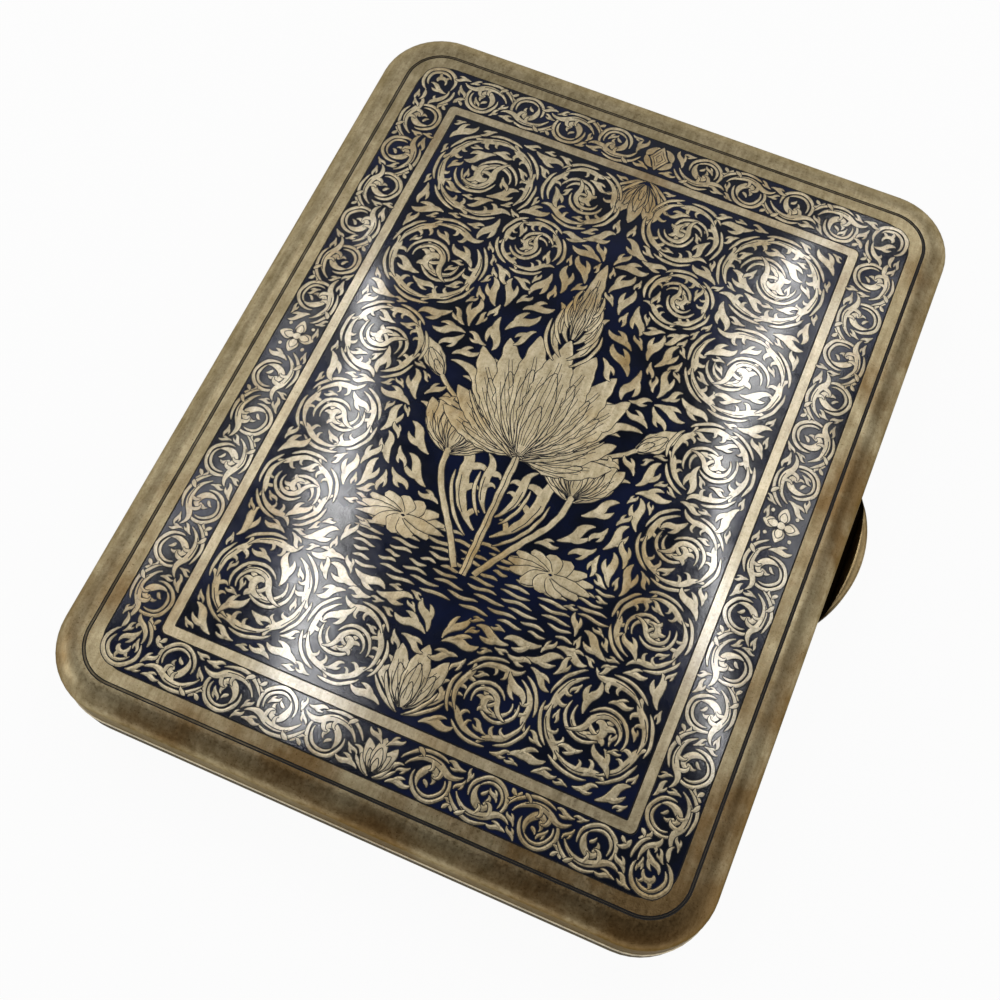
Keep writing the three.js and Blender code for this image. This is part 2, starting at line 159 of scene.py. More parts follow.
# Camera and light
LENS, SENSOR = 50.36, 36.0
CAMERA_TARGET = np.array([0.42, -10.52, 14.28])
CAMERA_AZIMUTH, CAMERA_ELEVATION = 21.24, 66.59
CAMERA_DISTANCE = 165.4
CAMERA_ROLL = 2.19
CEILING = (-0.02, 0.12, 1.0)  # where the room is dimmest
SHADED = (0.35, -1.0, 0.25)  # the side of the room that is darker than the others
CEILING_LIGHT, MIDDLE_LIGHT, WALL_LIGHT = (0.045, 0.045, 0.05), (0.38, 0.38, 0.38), (0.88, 0.87, 0.85)
SHADE = (0.24, 0.20, 0.15)
FLOOR_HALF, FLOOR_HEIGHT = 4000.0, -0.02
FLOOR_GLOW = 0.95
LAMP_TARGET = Vector((0, 0, 15))
LAMPS = [  # name, ends, width and radiance
    ("left_strip", (-354, 390, 615), (-138, -30, 615), 15, 27),
    ("right_strip", (44, 565, 615), (162, 132, 615), 16, 25),
    ("left_edge", (-400, 330, 615), (-330, 0, 615), 26, 5),
    ("right_edge", (118, 495, 615), (262, 150, 615), 26, 5),
    ("window", (-600, -420, 320), (-740, -100, 320), 300, 1.8),
]
BLACK, WHITE = (0, 0, 0), (1, 1, 1)


# Meshes

def mesh_object(name, points, faces, materials, indices=None, sharp=SHARP):
    """New object from points in millimetres, smooth but for edges over an angle."""
    mesh = bpy.data.meshes.new(name)
    mesh.from_pydata([tuple(p) for p in np.asarray(points) * MM], [], faces)
    for material in materials:
        mesh.materials.append(material)
    if indices is not None:
        mesh.polygons.foreach_set("material_index", np.asarray(indices, np.int32))
    mesh.polygons.foreach_set("use_smooth", np.ones(len(mesh.polygons), bool))
    mesh.update()
    mesh.set_sharp_from_angle(angle=math.radians(sharp))
    piece = bpy.data.objects.new(name, mesh)
    bpy.context.scene.collection.objects.link(piece)
    return piece


def register(piece, body, replaced=None):
    """Says which body a piece rides, and hides the solid it stands for."""
    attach(piece, body)
    if replaced is not None:
        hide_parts(replaced)


def skin(loops, first=None, last=None, closed=True):
    """Points and faces over a stack of loops, with an optional point at each end to close it."""
    count = len(loops[0])
    points = [p for ring in loops for p in ring]
    turns = count if closed else count - 1
    faces, rows = [], []
    for k in range(len(loops) - 1):
        for i in range(turns):
            j = (i + 1) % count
            faces.append((k * count + i, (k + 1) * count + i, (k + 1) * count + j, k * count + j))
            rows.append(k)
    if first is not None:
        points.append(first)
        faces += [(len(points) - 1, i, (i + 1) % count) for i in range(count)]
        rows += [0] * count
    if last is not None:
        points.append(last)
        start = (len(loops) - 1) * count
        faces += [(len(points) - 1, start + (i + 1) % count, start + i) for i in range(count)]
        rows += [len(loops) - 2] * count
    return points, faces, rows


def turned(faces):
    """Faces that look the other way."""
    return [face[::-1] for face in faces]


def solid(name, loops, materials, sharp=SHARP, flip=False):
    """Object over a stack of loops, closed at both ends."""
    points, faces, _ = skin(loops, loops[0].mean(axis=0), loops[-1].mean(axis=0))
    return mesh_object(name, points, turned(faces) if flip else faces, materials, sharp=sharp)


def bar(name, path, section, finish, normals=(0, 0, 1.0), sharp=SHARP):
    """Solid of a section (across, up) carried along an open path, where normals give its up."""
    along = np.gradient(path, axis=0)
    along /= np.linalg.norm(along, axis=1)[:, None]
    across = np.cross(along, normals)
    across /= np.linalg.norm(across, axis=1)[:, None]
    up = np.cross(across, along)
    loops = [p + np.outer(section[:, 0], a) + np.outer(section[:, 1], u) for p, a, u in zip(path, across, up)]
    return solid(name, loops, [finish], sharp)


def circle(radius, steps):
    """Section of a wire or a bore."""
    angles = TAU * np.arange(steps) / steps
    return radius * np.column_stack([np.cos(angles), np.sin(angles)])


def rounded(width, height, radius):
    """Section of a plate with rounded edges."""
    return rectangle((width / 2, height / 2), radius, corner_steps=4, side_steps=1)


def rectangle(half, radius, centre=(0, 0), corner_steps=CORNER_STEPS, side_steps=SIDE_STEPS):
    """Rectangle with rounded corners, anticlockwise, whose number of points depends on the steps alone."""
    x, y = np.asarray(half) - radius
    corners = []
    for quarter, (sx, sy) in enumerate([(1, 1), (-1, 1), (-1, -1), (1, -1)]):
        angles = (quarter + np.arange(corner_steps + 1) / corner_steps) * TAU / 4
        turn = radius * np.column_stack([np.cos(angles), np.sin(angles)])
        corners.append(turn + [sx * x, sy * y])
    points = []
    for quarter, corner in enumerate(corners):
        points += list(corner)
        end = corners[(quarter + 1) % 4][0]
        points += [corner[-1] + (end - corner[-1]) * k / side_steps for k in range(1, side_steps)]
    return np.array(points) + centre


def outline(inset):
    """The shells' plan outline moved inwards."""
    return rectangle((HALF_WIDTH - inset, HALF_LENGTH - inset), CORNER_RADIUS - inset)


def zone(out, radius):
    """Edge of a zone of the lid's work, out from its frame."""
    return rectangle(FRAME_HALF + out, radius, ART)


def cut(piece, tool):
    """Takes a closed tool out of a piece, then removes the tool."""
    boolean = piece.modifiers.new("cut", "BOOLEAN")
    boolean.object = tool
    boolean.operation = "DIFFERENCE"
    boolean.solver = "EXACT"
    bpy.context.view_layer.objects.active = piece
    bpy.ops.object.modifier_apply(modifier=boolean.name)
    bpy.data.objects.remove(tool)
    piece.data.set_sharp_from_angle(angle=math.radians(SHARP))


# The lid's surface

def cushion(x, y):
    """Share of the crown's rise."""
    across = np.abs(x) / (HALF_WIDTH - LID_ROLL_WIDTH)
    along = np.abs(y) / (HALF_LENGTH - LID_ROLL_WIDTH)
    return np.maximum(0, 1 - across ** CROWN_POWER) * np.maximum(0, 1 - along ** CROWN_POWER)


def dents(x, y):
    """Slow unevenness of hand-worked sheet."""
    broad = np.sin(0.31 * x + 0.17 * y + 1) + np.sin(0.28 * y - 0.12 * x + 2.2)
    return DENT_DEPTH * (broad + 0.6 * np.sin(0.5 * x - 0.41 * y))


def inside(x, y):
    """Distance from the shells' outline."""
    right = np.abs(x) - HALF_WIDTH + CORNER_RADIUS
    far = np.abs(y) - HALF_LENGTH + CORNER_RADIUS
    corner = np.hypot(np.maximum(right, 0), np.maximum(far, 0))
    return CORNER_RADIUS - corner - np.minimum(np.maximum(right, far), 0)


def lid_height(x, y):
    """The cushion, and the rolled edge outside it."""
    rise = cushion(x, y)
    field = LID_SHOULDER + LID_CROWN * rise + dents(x, y) * np.minimum(1, 4 * rise)
    reach = np.clip(1 - inside(x, y) / LID_ROLL_WIDTH, 0, 1)
    roll = LID_SHOULDER - LID_ROLL_DROP * (1 - np.sqrt(1 - reach ** 2))
    return np.where(reach > 0, roll, field)


def on_lid(plan, lift=0.0):
    """Points of a plan laid on the lid."""
    return np.column_stack([plan, lid_height(plan[:, 0], plan[:, 1]) + lift])


def level(plan, height):
    """Points of a plan at one height."""
    return np.column_stack([plan, np.full(len(plan), height)])


# Materials

class Graph:
    """Nodes of a material or of the world, joined as they are made."""

    def __init__(self, owner, end="Principled BSDF"):
        owner.use_nodes = True
        self.owner = owner
        self.nodes, self.links = owner.node_tree.nodes, owner.node_tree.links
        self.end = self.nodes[end]

    def feed(self, node, sockets):
        """Links each value that is an output to its socket, and sets the others on theirs."""
        for key, value in sockets.items():
            socket = node.inputs[key]
            if isinstance(value, bpy.types.NodeSocket):
                self.links.new(value, socket)
            else:
                socket.default_value = (*value, 1) if socket.type == "RGBA" else value

    def make(self, kind, output, sockets, **settings):
        """Adds a node with its settings and values, and returns one of its outputs."""
        node = self.nodes.new(kind)
        for name, value in settings.items():
            setattr(node, name, value)
        self.feed(node, sockets)
        return node.outputs[output]

    def close(self, sockets):
        """Feeds the last shader."""
        self.feed(self.end, sockets)
        return self.owner

    def coordinates(self, kind="Object"):
        return self.make("ShaderNodeTexCoord", kind, {})

    def noise(self, scale, detail=4.0, roughness=0.55, stretch=None):
        """Noise over the object's own place. scale is in waves per metre."""
        place = self.coordinates()
        if stretch is not None:
            place = self.make("ShaderNodeMapping", "Vector", {"Vector": place, "Scale": stretch})
        sockets = {"Vector": place, "Scale": scale, "Detail": detail, "Roughness": roughness}
        return self.make("ShaderNodeTexNoise", "Fac", sockets)

    def math(self, operation, a, b):
        return self.make("ShaderNodeMath", "Value", {0: a, 1: b}, operation=operation)

    def slope(self, direction, place):
        """How far a place lies in a direction."""
        sockets = {0: place, 1: direction}
        return self.make("ShaderNodeVectorMath", "Value", sockets, operation="DOT_PRODUCT")

    def ramp(self, value, *stops):
        """Colour ramp through (place, colour) stops."""
        node = self.nodes.new("ShaderNodeValToRGB")
        elements = node.color_ramp.elements
        while len(elements) < len(stops):
            elements.new(0.5)
        for element, (place, colour) in zip(elements, stops):
            element.position = place
            element.color = (*colour, 1)
        self.feed(node, {"Fac": value})
        return node.outputs["Color"]

    def blend(self, share, a, b, mode="MIX"):
        sockets = {"Factor": share, "A": a, "B": b}
        return self.make("ShaderNodeMix", "Result", sockets, data_type="RGBA", blend_type=mode)

    def multiply(self, a, b):
        return self.blend(1.0, a, b, "MULTIPLY")

    def spread(self, value, low, high, start=0.3, end=0.7):
        """A value stretched from one range to another."""
        sockets = {"Value": value, "From Min": start, "From Max": end, "To Min": low, "To Max": high}
        return self.make("ShaderNodeMapRange", "Result", sockets)

    def bump(self, *layers):
        """Normal of (height value, depth in metres) layers."""
        under = {}
        for value, depth in layers:
            normal = self.make("ShaderNodeBump", "Normal", {"Height": value, "Distance": depth, **under})
            under = {"Normal": normal}
        return normal


def silver(name, pale, dull, brown, roughness, stained=0.5, grime_and_shade=None, shade_drift=None, polish=0.0, relief=0.0):
    """Worn silver with brown tarnish in patches, brushing, speckle and pits.

    stained is the level of the patches' noise above which the silver turns brown. grime_and_shade holds a
    tone and the heights where it is full and where it ends: painted shade that darkens the silver by height.
    shade_drift is how fast the patches' noise grows along each axis, per metre, which gathers the brown
    towards one side as painted shade. polish is the share of a sharper sheen over the satin. relief is how
    far the middles of strokes stand out.
    """
    graph = Graph(bpy.data.materials.new(name))
    patches = graph.noise(90, 6, 0.6)
    # Painted shade: the patches' noise grows towards one side, so the brown gathers where that side is seen
    # darker.
    if shade_drift is not None:
        patches = graph.math("ADD", patches, graph.slope(shade_drift, graph.coordinates()))
    clouds = graph.noise(420, 5, 0.65)
    grain = graph.noise(5200, 2, 0.6)
    brushing = graph.noise(1500, 3, 0.6, (1, 0.14, 1))
    speckle = graph.noise(2600, 4, 0.7)
    body = graph.ramp(clouds, (0.32, dull), (0.66, pale))
    colour = graph.blend(graph.ramp(patches, (stained, BLACK), (stained + 0.2, WHITE)), body, brown)
    wear_and_shade = [
        graph.ramp(brushing, (0.34, (0.74, 0.72, 0.68)), (0.62, WHITE)),
        graph.ramp(speckle, (0.36, (0.80, 0.77, 0.72)), (0.58, WHITE)),
        graph.ramp(grain, (0.25, (0.42, 0.36, 0.29)), (0.36, WHITE)),
    ]
    # Painted shade: darkens the silver by height, from a tone where it is full to none where it ends.
    if grime_and_shade is not None:
        tone, full, end = grime_and_shade
        height = graph.make("ShaderNodeSeparateXYZ", "Z", {"Vector": graph.coordinates()})
        wear_and_shade.append(graph.ramp(graph.spread(height, 0.0, 1.0, full * MM, end * MM), (0, tone), (1, WHITE)))
    for tone in wear_and_shade:
        colour = graph.multiply(colour, tone)
    layers = [(brushing, 0.000008), (speckle, 0.000012), (grain, 0.000008)]
    if relief:
        across = graph.make("ShaderNodeAttribute", "Fac", {}, attribute_name=RELIEF)
        layers.append((across, relief))
    return graph.close({
        "Base Color": colour, "Roughness": graph.spread(speckle, *roughness), "Metallic": 1.0,
        "Specular Tint": (0.50, 0.46, 0.38), "Coat Weight": polish, "Coat Roughness": 0.14, "Coat IOR": 2.0,
        "Normal": graph.bump(*layers),
    })


def niello():
    """Glossy blue-black inlay with faint ripples."""
    graph = Graph(bpy.data.materials.new("niello"))
    patches, waves, grain = graph.noise(120, 4), graph.noise(700, 3), graph.noise(3400, 3, 0.65)
    return graph.close({
        "Base Color": graph.ramp(patches, (0.38, (0.004, 0.006, 0.013)), (0.64, (0.006, 0.011, 0.042))),
        "Roughness": graph.spread(waves, 0.08, 0.13), "IOR": 1.48,
        "Normal": graph.bump((waves, 0.000005), (grain, 0.000003)),
    })


def engraved():
    """Dark bottom of engraved lines."""
    graph = Graph(bpy.data.materials.new("engraved"))
    grime_and_shade = graph.noise(2500, 3)
    return graph.close({
        "Base Color": graph.ramp(grime_and_shade, (0.35, (0.004, 0.004, 0.005)), (0.7, (0.018, 0.015, 0.012))),
        "Roughness": graph.spread(grime_and_shade, 0.55, 0.8),
    })


def spring_steel():
    """Drawn steel with fine streaks."""
    graph = Graph(bpy.data.materials.new("steel"))
    streaks = graph.noise(1500, 3, 0.6, (1, 0.1, 1))
    return graph.close({
        "Base Color": graph.ramp(streaks, (0.3, (0.30, 0.29, 0.27)), (0.7, (0.52, 0.51, 0.49))),
        "Roughness": graph.spread(streaks, 0.22, 0.4), "Metallic": 1.0,
    })


def elastic():
    """Ribbed woven elastic, yellowed with age."""
    graph = Graph(bpy.data.materials.new("elastic"))
    sockets = {"Vector": graph.coordinates(), "Scale": 420, "Distortion": 1.5}
    threads = graph.make("ShaderNodeTexWave", "Fac", sockets, bands_direction="Y")
    cloth = graph.ramp(threads, (0.2, (0.36, 0.30, 0.20)), (0.8, (0.60, 0.53, 0.39)))
    stains = graph.ramp(graph.noise(160, 4), (0.35, (0.78, 0.74, 0.66)), (0.65, WHITE))
    return graph.close({
        "Base Color": graph.multiply(cloth, stains), "Roughness": 0.85, "Sheen Weight": 0.3,
        "Normal": graph.bump((threads, 0.0001)),
    })


def all_finishes():
    """Every material by its use."""
    # Painted shade: the lid's wall darkens towards its rim.
    lid_wall_shade = ((0.40, 0.35, 0.27), LID_RIM + 0.6, LID_SHOULDER - 1.0)
    # Painted shade: the base is near black just under the lid's rim and lightens downwards.
    base_rim_shade = ((0.05, 0.043, 0.034), BASE_RIM - 0.8, BASE_RIM - 4.6)
    # Painted shade: the thumb piece darkens into its hollow next to the case.
    thumb_hollow_shade = ((0.05, 0.042, 0.032), THUMB_LOW[2] + THUMB_PLATE, THUMB_HIGH[2] - 0.35)
    return {
        # The lid's brown tarnish gathers towards its near right side: painted shade.
        "silver": silver("silver", (0.54, 0.455, 0.29), (0.36, 0.295, 0.17), (0.25, 0.165, 0.075),
                         (0.30, 0.46), 0.52, lid_wall_shade, shade_drift=(2.6, -3.0, 0)),
        # Painted shade: the base's silver is darker and browner all over than the lid's, for the half that
        # sits under the lid.
        "base": silver("shaded_base_silver", (0.34, 0.28, 0.17), (0.22, 0.175, 0.10), (0.16, 0.10, 0.045),
                       (0.36, 0.5), 0.46, base_rim_shade),
        "frame": silver("frame_silver", (0.70, 0.595, 0.39), (0.50, 0.415, 0.255), (0.38, 0.265, 0.125),
                        (0.32, 0.46), polish=0.7),
        "strokes": silver("stroke_silver", (0.86, 0.75, 0.52), (0.66, 0.555, 0.345), (0.52, 0.37, 0.165),
                          (0.36, 0.5), 0.47, polish=1.0, relief=0.000025),
        "thumb": silver("thumb_silver", (0.52, 0.40, 0.22), (0.38, 0.28, 0.14), (0.27, 0.175, 0.075),
                        (0.28, 0.42), grime_and_shade=thumb_hollow_shade),
        "inner": silver("inner_silver", (0.72, 0.64, 0.47), (0.61, 0.53, 0.38), (0.48, 0.38, 0.23),
                        (0.26, 0.40)),
        "dull": silver("dull_silver", (0.22, 0.185, 0.125), (0.13, 0.108, 0.074), (0.08, 0.062, 0.038),
                       (0.4, 0.55)),
        "niello": niello(),
        "engraved": engraved(),
        "steel": spring_steel(),
        "elastic": elastic(),
    }


# Ornament: strokes in plan, painted one over another

class Drawing:
    """Motifs in painting order. Each is a list of strokes, a stroke being a spine and its widths.

    A stroke with widths under zero is an engraved line on the motif.
    """

    def __init__(self):
        self.motifs = []

    def add(self, *strokes):
        self.motifs.append([(np.asarray(p, float), np.asarray(w, float)) for p, w in strokes])

    def take(self, other, place):
        self.motifs += [[(place(p), w) for p, w in motif] for motif in other.motifs]


def mirrored(points):
    """The same points on the other side of the middle."""
    return points * [-1, 1]


def walk(start, heading, length, turns, steps):
    """Points of a path that turns by each (share of the length, angle) in order, and its headings."""
    shares = np.cumsum([0] + [share for share, _ in turns])
    angles = heading + np.cumsum([0] + [angle for _, angle in turns])
    middles = (np.arange(steps - 1) + 0.5) / (steps - 1)
    headings = np.interp(middles, shares, angles)
    moves = length / (steps - 1) * np.column_stack([np.cos(headings), np.sin(headings)])
    return np.vstack([start, np.asarray(start) + np.cumsum(moves, axis=0)]), headings


def beside(points, distance):
    """A path moved to its left by one distance, or by one for each point."""
    along = np.gradient(points, axis=0)
    along /= np.maximum(np.linalg.norm(along, axis=1), 1e-9)[:, None]
    return points + np.reshape(distance, (-1, 1)) * np.column_stack([-along[:, 1], along[:, 0]])


def swell(count, peak, start, end, power=1.0):
    """Shares of the full width from start to 1 at the peak and on to end."""
    t = np.linspace(0, 1, count)
    rise = start + (1 - start) * np.sin(np.clip(t / peak, 0, 1) * TAU / 4)
    fall = end + (1 - end) * np.cos(np.clip((t - peak) / (1 - peak), 0, 1) * TAU / 4) ** power
    return np.where(t < peak, rise, fall)


def line(points, width, taper=0.3):
    """Stroke of one width with tapered ends."""
    t = np.linspace(0, 1, len(points))
    ends = np.clip(np.minimum(t, 1 - t) / taper, 0, 1)
    return points, width * (0.06 + 0.94 * np.sqrt(ends))


def comma(start, heading, length, bend, width, steps=12, peak=0.35, root=0.12):
    """Short leaf that bends more towards its tip."""
    points, _ = walk(start, heading, length, [(0.55, 0.35 * bend), (0.45, 0.65 * bend)], steps)
    return points, width * swell(steps, peak, root, 0.06)


def on_circle(centre, radius, angle):
    return np.asarray(centre) + radius * np.array([math.cos(angle), math.sin(angle)])


def arc(centre, radius, first, last, steps):
    """Points of an arc between two angles in degrees."""
    return np.array([on_circle(centre, radius, a) for a in np.radians(np.linspace(first, last, steps))])


def flame(drawing, start, heading, length, bend, hook, width, companion=True, barbs=1):
    """Leaf that bends, with a hooked tip, barbs in its bend and a thin line along its back."""
    steps = max(20, round(length / FINE))
    points, headings = walk(start, heading, length, [(0.68, bend), (0.32, hook)], steps)
    side = math.copysign(1, bend)
    if companion:
        last = int(0.66 * steps)
        drawing.add(line(beside(points[:last], -side * (width / 2 + HAIR_GAP + HAIR / 2)), HAIR))
    strokes = [(points, width * swell(steps, 0.62, 0.12, 0.05, 0.8))]
    for k in range(barbs):
        i = int((0.64 - 0.24 * k) * steps)
        strokes.append(comma(points[i], headings[i] + side * 0.6, (0.25 - 0.04 * k) * length, side * 2.3,
                             (0.62 - 0.1 * k) * width, 10, 0.4, 0.5))
    if width > 0.75:
        first, last = int(0.2 * steps), int(0.6 * steps)
        strokes.append((beside(points[first:last], -side * 0.16 * width), np.full(last - first, -VEIN)))
    drawing.add(*strokes)


def coil(centre, first_radius, last_radius, start, turn, steps):
    """Points of a spiral."""
    shares = np.linspace(0, 1, steps)
    return np.array([on_circle(centre, first_radius + s * (last_radius - first_radius), start + s * turn)
                     for s in shares])


def bud(drawing, centre, radius, start, hand):
    """Curled leaf with barbs on its back, in the middle of a scroll."""
    points = coil(centre, radius, 0.2 * radius, start, hand * 3.9, 18)
    strokes = [(points, 0.6 * radius * swell(18, 0.5, 0.2, 0.1))]
    for i, size in ((4, 0.75), (8, 0.95)):
        heading = start + hand * (3.9 * i / 17 + 0.9)
        strokes.append(comma(points[i], heading, size * radius, -hand * 1.6, 0.42 * radius, 9, 0.4, 0.5))
    drawing.add(*strokes)


def scroll(drawing, centre, radius, start, hand, leaves):
    """Ring of leaves, two curled leaves inside it and a bud. hand is 1 where it winds anticlockwise."""
    width = 0.19 * radius ** 0.8
    step = TAU * 0.95 / leaves
    for i in range(leaves):
        angle = start + hand * step * i
        flame(drawing, on_circle(centre, 0.84 * radius, angle), angle + hand * (TAU / 4 - 0.08),
              1.1 * radius * step, hand * step * 1.1, -hand * 1.35, width, barbs=2)
    for i in range(2):
        angle = start + hand * (0.6 * step + TAU * 0.5 * i)
        flame(drawing, on_circle(centre, 0.47 * radius, angle), angle + hand * TAU / 4,
              1.45 * radius, hand * 3.3, -hand * 1.3, 0.9 * width, barbs=1)
    bud(drawing, centre, 0.25 * radius, start + hand * 2.2, hand)


def petal(drawing, start, heading, length, width, bend=0.0, nested=2, hatch=0):
    """Pointed petal with the edges of smaller ones engraved in it, and fine lines from its foot."""
    strokes = []
    steps = max(14, round(length / FINE))
    for k in range(nested + 1):
        size = 1 - 0.3 * k
        points, _ = walk(start, heading, size * length, [(1, size * bend)], steps)
        widths = size * width * swell(steps, 0.42, 0.3, 0.02, 0.75)
        if k == 0:
            strokes.append((points, widths))
            edge, reach = points, widths
            continue
        for side in (1, -1):
            strokes.append((beside(points, side * widths / 2), np.full(steps, -VEIN)))
    for k in range(hatch):
        offset = (k + 0.5) / hatch - 0.5
        last = int(steps * (0.86 - 0.7 * abs(offset)))
        strokes.append((beside(edge[2:last], offset * reach[2:last]), np.full(last - 2, -0.7 * VEIN)))
    drawing.add(*strokes)


def lotus(drawing, foot, length, width, petals, spread_angle, heading=TAU / 4, hatch=0):
    """Open flower: petals from the sides to the middle, with flames that turn back under it."""
    for side in (1, -1):
        for k in range(2):
            flame(drawing, foot, heading - side * (1.25 - 0.3 * k), (0.95 - 0.1 * k) * length, side * 0.7,
                  -side * 1.3, 0.3 * width)
    leans = (np.arange(petals) / (petals - 1) - 0.5) * spread_angle
    for lean in sorted(leans, key=lambda angle: -abs(angle)):
        petal(drawing, foot, heading - lean, length * (1 - 0.10 * abs(lean)), width * (1 - 0.12 * abs(lean)),
              0.35 * lean, hatch=hatch)


def dot(drawing, centre, diameter):
    """A round pearl, as a short fat stroke."""
    t = np.linspace(-1, 1, 9)
    points = np.asarray(centre) + np.column_stack([t, 0 * t]) * diameter / 2
    drawing.add((points, diameter * np.sqrt(np.maximum(1 - t ** 2, 0.003))))


def flower(drawing, centre, radius):
    """Four petals with a round middle, and dots between them."""
    for k in range(4):
        angle = TAU * k / 4
        petal(drawing, on_circle(centre, 0.15 * radius, angle), angle, 0.85 * radius, 0.62 * radius, 0, 1)
        dot(drawing, on_circle(centre, 0.95 * radius, angle + TAU / 8), 0.2 * radius)
    dot(drawing, centre, 0.42 * radius)


def lozenge(drawing, centre, radius):
    """Nested lozenge between four small leaves."""
    t = np.linspace(-1, 1, 9)
    for side in (1, -1):
        for up in (1, -1):
            foot = np.asarray(centre) + [side * 0.85 * radius, 0]
            heading = up * (TAU / 4 + side * 0.3)
            drawing.add(comma(foot, heading, 1.1 * radius, side * up * 0.9, 0.42 * radius, 10))
    for size in (radius, 0.66 * radius, 0.32 * radius):
        points = np.asarray(centre) + np.column_stack([0 * t, t]) * size
        drawing.add((points, 1.2 * size * (1 - np.abs(t)) + 0.03))


def border_unit():
    """Ring of the border with the leaf over it. X runs along the border, and the ring lies towards -Y."""
    unit = Drawing()
    centre = np.array([0.0, -0.42])
    unit.add(line(arc(centre, 2.16, 135, 375, 26), 0.40, 0.2))
    unit.add(line(arc(centre, 1.60, 155, 322, 18), 0.32))
    unit.add(
        comma(on_circle(centre, 1.60, math.radians(-38)), math.radians(60), 4.6, 4.5, 0.8, 18, 0.45),
        comma(centre + [0.15, 0.8], math.radians(215), 1.35, 1.9, 0.46, 10, 0.35, 0.5),
        comma(centre + [0.8, -0.1], math.radians(200), 1.0, 1.2, 0.38, 8, 0.35, 0.5),
    )
    flame(unit, (3.35, 0.25), math.radians(118), 7.5, math.radians(100), -math.radians(85), 0.76, barbs=2)
    unit.add(comma((-3.35, -2.45), math.radians(75), 1.9, -1.6, 0.62, 10))
    unit.add(comma((-2.2, -2.5), math.radians(120), 1.0, 1.0, 0.46, 8))
    unit.add(comma((2.7, 2.5), math.radians(200), 1.3, 0.9, 0.5, 8))
    return unit


def border_corner():
    """Spiral in a corner, for the one at +X and +Y."""
    corner = Drawing()
    corner.add(line(arc((0, 0), 2.2, -60, 205, 24), 0.46, 0.2))
    corner.add(line(arc((0, 0), 1.6, -40, 150, 16), 0.38))
    bud(corner, (0, 0), 1.0, math.radians(200), -1)
    flame(corner, (-1.9, -1.0), math.radians(-100), 3.9, math.radians(75), -math.radians(70), 0.62)
    corner.add(comma((1.2, -2.0), math.radians(-120), 2.0, 1.5, 0.5, 10))
    return corner


def border():
    """Rings that alternate along each side, mirrored about its middle, with a rosette there."""
    drawing = Drawing()
    unit, corner = border_unit(), border_corner()
    reach_x, reach_y = BORDER_MIDDLE
    for axis, count in ((0, SHORT_UNITS), (1, LONG_UNITS)):
        along, out = np.eye(2)[[axis, 1 - axis]]
        pitch = BORDER_MIDDLE[axis] / (count + 1)
        for end, half, k in product((1, -1), (1, -1), range(1, count + 1)):
            flip = 1 if k % 2 else -1
            axes = np.array([-half * along, -flip * end * out])
            origin = end * out * BORDER_MIDDLE + half * k * pitch * along
            drawing.take(unit, lambda p: p * [pitch / BORDER_PITCH, 1] @ axes + origin)
    for sx in (1, -1):
        for sy in (1, -1):
            drawing.take(corner, lambda p: (p + [reach_x + 0.2, reach_y + 0.2]) * [sx, sy])
        flower(drawing, (sx * reach_x, 0), 2.3)
    lozenge(drawing, (0, reach_y), 2.1)
    lotus(drawing, (0, -reach_y - 1.9), 3.9, 1.7, 3, 1.2)
    frame_x, frame_y = FRAME_HALF + 0.25
    fill_gaps(drawing, FRAME_HALF + BORDER_WIDTH - 0.3,
              lambda x, y: (np.abs(x) < frame_x) & (np.abs(y) < frame_y), 0.5, 1.0, 0.2)
    return drawing


def panel_scrolls():
    """Scrolls of the panel's right half."""
    half = Drawing()
    for centre, radius, start, hand, leaves in SCROLLS:
        scroll(half, centre, radius, math.radians(start), hand, leaves)
    return half


def ripples(drawing):
    """Rows of water dashes."""
    for row in range(10):
        y, reach = -16.6 - 0.85 * row, 15.5 - 0.35 * row
        x, k = -reach, 3 * row
        while x < reach:
            length = 1.6 + 2.2 * abs(math.sin(2.7 * k + 0.9 * row))
            t = np.linspace(0, 1, 8)
            drawing.add(line(np.column_stack([x + length * t, y + 0.12 * np.sin(TAU * t + k)]), 0.36))
            x += length + 0.4 + 0.9 * abs(math.sin(1.9 * k + 0.4 * row))
            k += 1


def pad(drawing, centre, half_width, half_height, lobes=13):
    """Round floating leaf, drawn as lobes about its heart."""
    for k in range(lobes):
        angle = TAU * (k + 0.5) / lobes
        tip = np.array([half_width * math.cos(angle), half_height * math.sin(angle)])
        length = np.linalg.norm(tip)
        spine = np.asarray(centre) + np.linspace(0.06, 1, 12)[:, None] * tip
        breadth = 1.7 * TAU / lobes * half_width * half_height / length
        drawing.add((spine, breadth * np.sin(np.linspace(0.1, 0.93, 12) * TAU / 2) ** 0.8 * 0.62))


